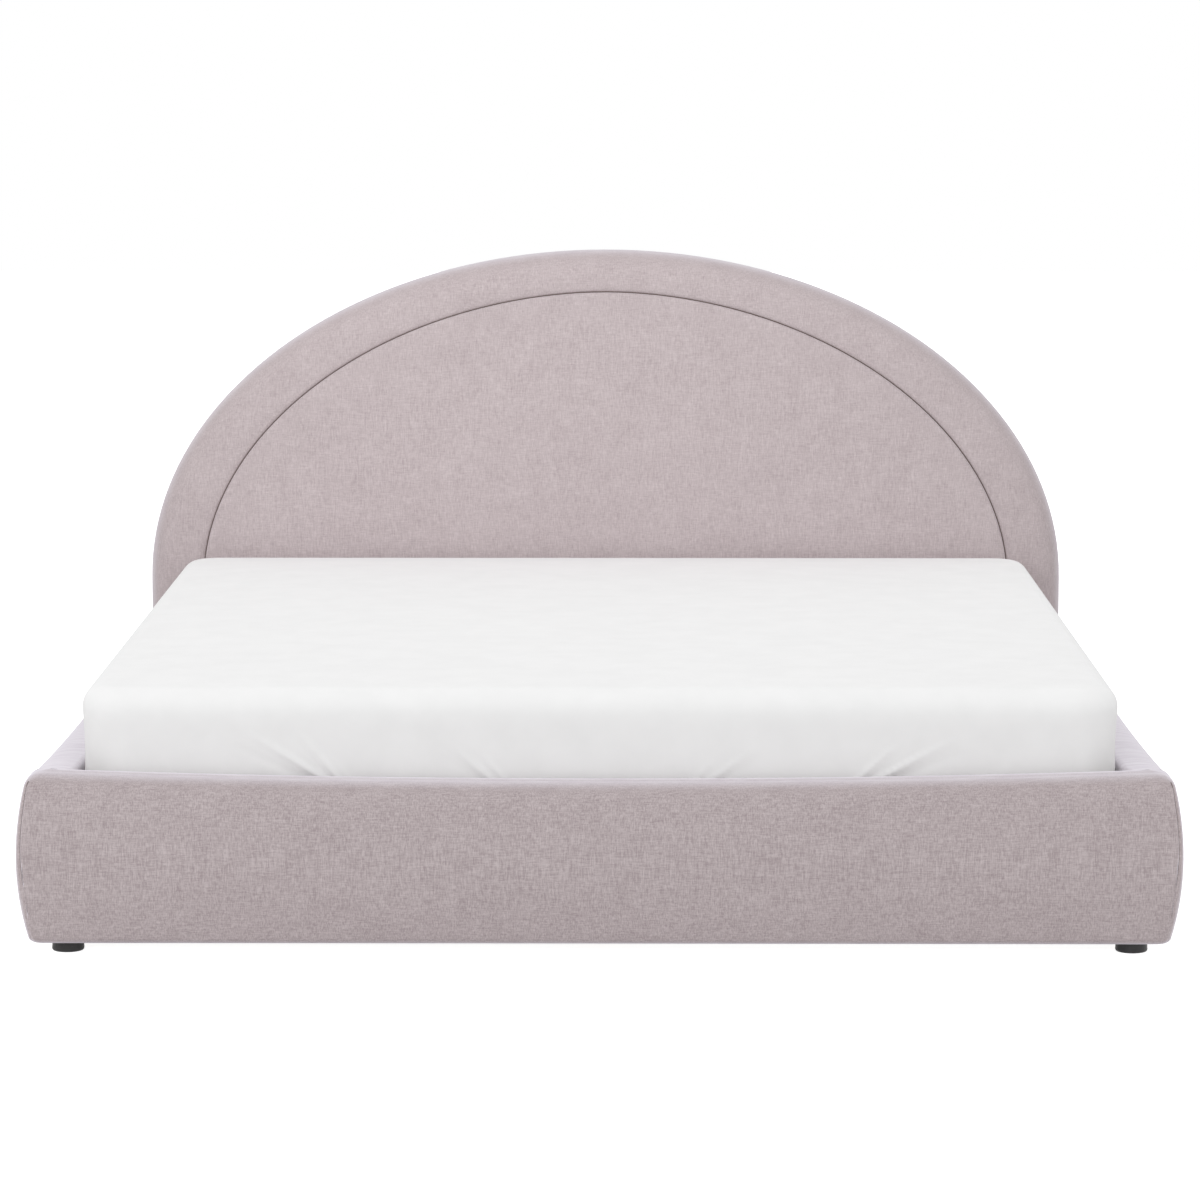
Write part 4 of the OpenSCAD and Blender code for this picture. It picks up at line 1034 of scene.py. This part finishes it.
def front_shoulder(z):
    """How much further back the foot side of the mattress lies as it rounds over to the top."""
    return SHOULDER_D * clamp((z - MATTRESS_FACE_TOP + SHOULDER_H) / SHOULDER_H) ** 2


def block_ring(inset, z, steps, grow=0.0):
    """The mattress's outline at a height, with so many steps at its back, its front and its sides."""
    back, front, along = steps
    hx = MATTRESS_X - inset + grow
    hy = (MATTRESS_Y1 - MATTRESS_Y0) / 2 - inset + grow
    middle_y = (MATTRESS_Y0 + MATTRESS_Y1) / 2
    r = max(LEAST_CORNER, MATTRESS_CORNER - inset + grow)
    rx, ry = hx - r, hy - r
    quarter = [(r * math.cos(a), r * math.sin(a)) for a in arc(0, 90, 8)]
    plan = [(rx + x, ry + y) for x, y in quarter]
    plan += [(rx * (1 - 2 * i / back), hy) for i in range(1, back)]
    plan += [(-rx - y, ry + x) for x, y in quarter]
    plan += [(-hx, ry * (1 - 2 * i / along)) for i in range(1, along)]
    plan += [(-rx - x, -ry - y) for x, y in quarter]
    plan += [(-rx + 2 * rx * i / front, -hy) for i in range(1, front)]
    plan += [(rx + y, -ry - x) for x, y in quarter]
    plan += [(hx, -ry + 2 * ry * i / along) for i in range(1, along)]
    back_by = front_shoulder(z) * max(0, 1 - max(0, inset - MATTRESS_EDGE) / SHOULDER_FADE)
    ring = []
    for x, y in plan:
        near_foot = max(0, 1 - (y + hy) / SHOULDER_REACH)
        ring.append((x, middle_y + y + back_by * near_foot, z))
    return ring


def mattress_profile(side_steps):
    """The mattress's outline in height, as (inset, height)."""
    side_low = MATTRESS_Z + MATTRESS_LOW_R
    side_high = MATTRESS_FACE_TOP - MATTRESS_EDGE
    made = []
    for a in arc(0, 90, 5):
        inset = MATTRESS_LOW_R * (1 - math.sin(a))
        made.append((inset, MATTRESS_Z + MATTRESS_LOW_R * (1 - math.cos(a))))
    for i in range(1, side_steps):
        waist = MATTRESS_WAIST * math.sin(math.pi * i / side_steps)
        made.append((waist, side_low + (side_high - side_low) * i / side_steps))
    for a in arc(0, 90, 9):
        made.append((MATTRESS_EDGE * (1 - math.cos(a)), side_high + MATTRESS_EDGE * math.sin(a)))
    for inset, share in CROWN_LINE:
        made.append((MATTRESS_EDGE + inset, MATTRESS_FACE_TOP + MATTRESS_CROWN * share))
    return made


# How much the mattress is drawn in and lowered, so that it stays under its sheet
UNDER_SHEET_IN = 0.6
UNDER_SHEET_DOWN = 0.3
MATTRESS_STEPS = (36, 36, 40)
# The bound edge round its underside: radius, height and distance in
TAPE_R = 4.5
TAPE_UP = 6
TAPE_IN = 4.0


def make_mattress():
    """The mattress under the sheet, with a bound edge round its underside."""
    rings = []
    for inset, z in mattress_profile(6):
        rings.append(block_ring(inset + UNDER_SHEET_IN, z - UNDER_SHEET_DOWN, MATTRESS_STEPS))
    bm, stack = raise_rings(rings)
    close_to_middle(bm, stack[-1])
    close_to_middle(bm, stack[0])
    piece = finish_mesh(bm, "mattress_block", ticking, "lifting_platform")
    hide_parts("mattress")
    edge = block_ring(TAPE_IN, MATTRESS_Z + TAPE_UP, MATTRESS_STEPS)
    tape = make_tube("mattress_edge_tape", edge + edge[:1], TAPE_R, ticking, "lifting_platform", 3)


# The sheet's hem under the mattress as (inset, height), and from where it follows the side
SHEET_HEM = ((7.0, MATTRESS_Z + 4.0), (3.0, MATTRESS_Z + 9.0))
SHEET_LOW = MATTRESS_Z + 12
SHEET_STEPS = (60, 480, 60)
# How far the sheet lies off the mattress at its sides and on its top
SHEET_OUT = 1.0
SHEET_UP = 1.2
# How far it hangs off the front side, below which height, and over which height that grows
SHEET_EASE = 4.0
EASE_TOP = MATTRESS_TOP - 40
EASE_H = 110
# Where the sheet's front side ends, and the height above which it has no creases
FRONT_END_Y = MATTRESS_Y0 + 12
CREASE_TOP = MATTRESS_TOP - 20
# Creases die out near the corners, and none draws the sheet in further than this
CORNER_FADE = 60
MOST_DRAWN_IN = 0.2
# How far a crease reaches below its foot, as a share of its rise, and how it fades above it
CREASE_BELOW = 0.9
CREASE_POWER = 0.8
# Where the sheet is pulled taut at the foot. Each crease has its foot, its run along X, its rise,
# its height and its width in millimetres; those below 0 are hollows.
CREASE_FOOT_Z = 297
CREASES = (
    (-474, -136, 82, 5.6, 8.0),
    (-506, -124, 60, -2.6, 17.0),
    (-449, -74, 82, 4.4, 7.0),
    (-434, -42, 52, 2.0, 5.5),
    (-462, -104, 66, -1.8, 6.0),
    (-188, -68, 58, 3.0, 7.0),
    (-166, -44, 52, 2.4, 6.0),
    (-208, -62, 42, -0.9, 10.0),
    (194, 78, 56, 2.8, 7.0),
    (168, 30, 40, 2.0, 6.0),
    (214, 72, 42, -0.9, 10.0),
    (446, 76, 68, 4.2, 7.0),
    (480, 136, 72, 5.4, 8.0),
    (512, 120, 52, -2.8, 16.0),
    (462, 106, 58, -1.8, 6.0),
    (-742, -14, 44, 1.6, 6.0),
    (690, 26, 44, 1.2, 7.0),
)
# Soft upright folds near the corners, as their place along X, depth and width, and where they start
FOLD_TOP = MATTRESS_TOP - 30
FOLD_FADE = 60
FOLDS = ((-846, -1.6, 16), (-816, 0.9, 12), (812, -1.8, 20), (850, 1.0, 12))
# The hem is a little wavy near the corners: its height, where along the bed, how deep, and the
# wave's turns in radians for a millimetre along X and along Y
HEM_H = 60
HEM_Y = 960
HEM_REACH = 200
HEM_WAVE = 0.8
HEM_TURN_X, HEM_TURN_Y = 0.13, 0.11


def crease_height(x, z):
    """How far the sheet stands out at a place on its foot side."""
    total = SHEET_EASE * clamp((EASE_TOP - z) / EASE_H)
    for foot_x, run, rise, height, width in CREASES:
        t = (z - CREASE_FOOT_Z) / rise
        if t < -CREASE_BELOW or t > 1:
            continue
        fade = (1 - t) ** CREASE_POWER if t > 0 else 1 + t
        total += height * fade * math.exp(-(((x - foot_x - run * t) / width) ** 2))
    below_top = clamp((FOLD_TOP - z) / FOLD_FADE)
    for fold_x, depth, width in FOLDS:
        total += depth * below_top * math.exp(-(((x - fold_x) / width) ** 2))
    off_corner = clamp((MATTRESS_X - abs(x)) / CORNER_FADE)
    return max(-MOST_DRAWN_IN, total * off_corner)


def settled(x, y, z):
    """A point of the sheet, creased at the foot of the bed and wavy at the hem of the other sides."""
    if y < FRONT_END_Y and z < CREASE_TOP:
        return x, y - crease_height(x, z), z
    if y > FRONT_END_Y and z < MATTRESS_Z + HEM_H:
        low = (MATTRESS_Z + HEM_H - z) / HEM_H
        near = clamp(1 - abs(abs(y) - HEM_Y) / HEM_REACH)
        out = HEM_WAVE * near * low * math.sin(HEM_TURN_Y * y + HEM_TURN_X * x)
        return (x + out if x > 0 else x - out), y, z
    return x, y, z


def make_sheet():
    """The white fitted sheet, smooth over the top and creased where it is pulled down at the foot."""
    profile = list(SHEET_HEM)
    profile += [(inset, z) for inset, z in mattress_profile(28) if z > SHEET_LOW]
    rings = []
    for inset, z in profile:
        up = SHEET_UP * clamp((z - MATTRESS_FACE_TOP + MATTRESS_EDGE) / MATTRESS_EDGE)
        ring = block_ring(inset, z + up, SHEET_STEPS, SHEET_OUT)
        rings.append([settled(*point) for point in ring])
    bm, stack = raise_rings(rings)
    close_to_middle(bm, stack[-1])
    piece = finish_mesh(bm, "fitted_sheet_cover", linen, "lifting_platform")
    thicken(piece, "cloth_thickness", CLOTH_T, -1)
    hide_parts("fitted_sheet")


# The webbing's thickness, half its width, and how many faces it has across
BAND_T = 1.6
BAND_HALF_W = 19.5
BAND_STEPS = 6
# Its middle runs down this far behind the front and up again behind itself, then back to its tube
# this far below the top, round these bends
DOWN_RUN = 1.1
UP_RUN = 3.8
OUTER_RUN = 1.2
INNER_RUN = 3.6
OUTER_BEND_R = 4
INNER_BEND_R = 2.6
FOLD_R = 1.3
# Where its outer bend has its middle behind the front, and where its straight runs start and end
BEND_BACK = 5
RUN_LOW = 8
RUN_HIGH = 9


def bend(y, z, radius, start, stop, steps):
    """Points of a band round a bend, from one angle to another."""
    return [(y + radius * math.cos(a), z + radius * math.sin(a)) for a in arc(start, stop, steps)]


def band_path():
    """The webbing from the platform's tube down to its fold and back, as (y, z) in millimetres."""
    low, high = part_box("pull_strap")
    front, back = low.y / MM, high.y / MM
    bottom, top = low.z / MM, high.z / MM
    bend_y = front + BEND_BACK
    fold_y = front + DOWN_RUN + FOLD_R
    inner = UP_RUN + INNER_BEND_R
    path = [(back, top - OUTER_RUN), (bend_y + OUTER_BEND_R, top - OUTER_RUN)]
    path += bend(bend_y, top - OUTER_RUN - OUTER_BEND_R, OUTER_BEND_R, 90, 180, 5)
    path += [(front + DOWN_RUN, bottom + RUN_LOW)]
    path += bend(fold_y, bottom + 2 * FOLD_R, FOLD_R, 180, 360, 8)
    path += [(front + UP_RUN, top - RUN_HIGH)]
    path += bend(front + inner, top - inner, INNER_BEND_R, 180, 90, 4)
    path += [(back, top - INNER_RUN)]
    return path


def make_pull_loop():
    """The loop of webbing that hangs at the middle of the foot end."""
    bm = bmesh.new()
    line = [bm.verts.new(Vector((-BAND_HALF_W, *place)) * MM) for place in band_path()]
    edges = loop_edges(bm, line, closed=False)
    for _ in range(BAND_STEPS):
        made = bmesh.ops.extrude_edge_only(bm, edges=edges)["geom"]
        edges = [e for e in made if isinstance(e, bmesh.types.BMEdge)]
        fresh = [v for v in made if isinstance(v, bmesh.types.BMVert)]
        bmesh.ops.translate(bm, verts=fresh, vec=(2 * BAND_HALF_W * MM / BAND_STEPS, 0, 0))
    piece = finish_mesh(bm, "foot_pull_loop", webbing, "lifting_platform")
    thicken(piece, "webbing_thickness", BAND_T, 0)
    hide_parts("pull_strap")


# The photograph's camera, in metres and radians: a long lens at eye height, beyond the foot end
CAMERA_AT = (0.0488, -9.000, 1.6185)
CAMERA_PITCH = 0.1257
CAMERA_TURN = 0.0060
CAMERA_LENS = 140.6
SENSOR = 36.0
FAR_CLIP = 100


def make_camera():
    """The photograph's view: from the foot end, a little above the bed."""
    data = bpy.data.cameras.new("photograph_view")
    data.lens = CAMERA_LENS
    data.sensor_width = SENSOR
    data.clip_end = FAR_CLIP
    made = add_object("photograph_view", data)
    made.location = CAMERA_AT
    made.rotation_euler = (math.pi / 2 - CAMERA_PITCH, 0, CAMERA_TURN)
    bpy.context.scene.camera = made


def show_apart(tree, lit, shown):
    """Shows one shader to the camera, a gloss and glass, and the other to the light on the bed."""
    rays = add_node(tree, "ShaderNodeLightPath").outputs
    seen = rays["Is Camera Ray"]
    for kind in ("Is Glossy Ray", "Is Transmission Ray"):
        inputs = {0: seen, 1: rays[kind]}
        seen = add_node(tree, "ShaderNodeMath", inputs, operation="MAXIMUM")
    return add_node(tree, "ShaderNodeMixShader", {0: seen, 1: lit, 2: shown})


FLOOR_COLOUR = "#E8E8E8"
FLOOR_HALF = 20
FLOOR_GLOW = 0.92
WORLD_LIGHT = 0.74


def make_floor():
    """A pale floor that keeps the bed's shadow and fades into the white background."""
    bm = bmesh.new()
    bmesh.ops.create_grid(bm, x_segments=1, y_segments=1, size=FLOOR_HALF)
    mesh = bpy.data.meshes.new("studio_floor")
    bm.to_mesh(mesh)
    bm.free()
    finish = bpy.data.materials.new("white_studio_floor")
    tree = empty_tree(finish)
    matt = add_node(tree, "ShaderNodeBsdfDiffuse", {"Color": hex_colour(FLOOR_COLOUR)})
    glow = add_node(tree, "ShaderNodeEmission", {"Color": WHITE, "Strength": FLOOR_GLOW})
    both = add_node(tree, "ShaderNodeAddShader", {0: matt, 1: glow})
    add_node(tree, "ShaderNodeOutputMaterial", {"Surface": show_apart(tree, matt, both)})
    mesh.materials.append(finish)
    made = add_object("studio_floor", mesh)


# name, place, turn in degrees, width, height, power and the first word of the pieces it reaches
LAMPS = (
    ("headboard_softbox", (-0.5, -1.14, 2.1), (88, 0, -6), 2.6, 0.7, 21.5, "headboard"),
    ("front_softbox", (-0.6, -6.6, 2.4), (74, 0, -5), 4.4, 1.8, 53, ""),
    ("left_softbox", (-4.2, -2.6, 1.6), (70, 0, -65), 2.2, 1.6, 28, ""),
    ("right_softbox", (4.2, -2.6, 1.6), (70, 0, 65), 2.2, 1.6, 17, ""),
    ("overhead_softbox", (0.0, 0.6, 4.6), (0, 0, 0), 3.0, 3.0, 41, "fitted"),
)


def flag_lamp(lamp, word):
    """Keeps a lamp to the pieces whose names start with the word, as black flags do in a studio."""
    reached = bpy.data.collections.new(lamp.name + "_reach")
    for thing in bpy.data.objects:
        if thing.type == "MESH" and thing.name.startswith(word):
            reached.objects.link(thing)
    lamp.light_linking.receiver_collection = reached


def make_light():
    """Plain soft studio light, the same from all sides, with the softboxes of the table above."""
    world = bpy.data.worlds.new("studio")
    bpy.context.scene.world = world
    tree = empty_tree(world)
    plain, white = [
        add_node(tree, "ShaderNodeBackground", {"Color": WHITE, "Strength": strength})
        for strength in (WORLD_LIGHT, 1.0)
    ]
    add_node(tree, "ShaderNodeOutputWorld", {"Surface": show_apart(tree, plain, white)})
    for name, place, turn, width, height, power, word in LAMPS:
        data = bpy.data.lights.new(name, "AREA")
        data.shape = "RECTANGLE"
        data.size = width
        data.size_y = height
        data.energy = power
        made = add_object(name, data)
        made.location = place
        made.rotation_euler = [math.radians(angle) for angle in turn]
        made.visible_camera = False
        if word:
            flag_lamp(made, word)


make_camera()
make_floor()
dress_frame()
for side, hand in SIDES:
    make_rail_padding(side, hand)
make_footboard_padding()
make_footboard_seams()
make_headboard_border()
make_headboard_center()
make_headboard_thread()
make_back_lining()
make_mattress()
make_sheet()
make_pull_loop()
make_light()

bpy.context.scene.view_settings.view_transform = "Standard"
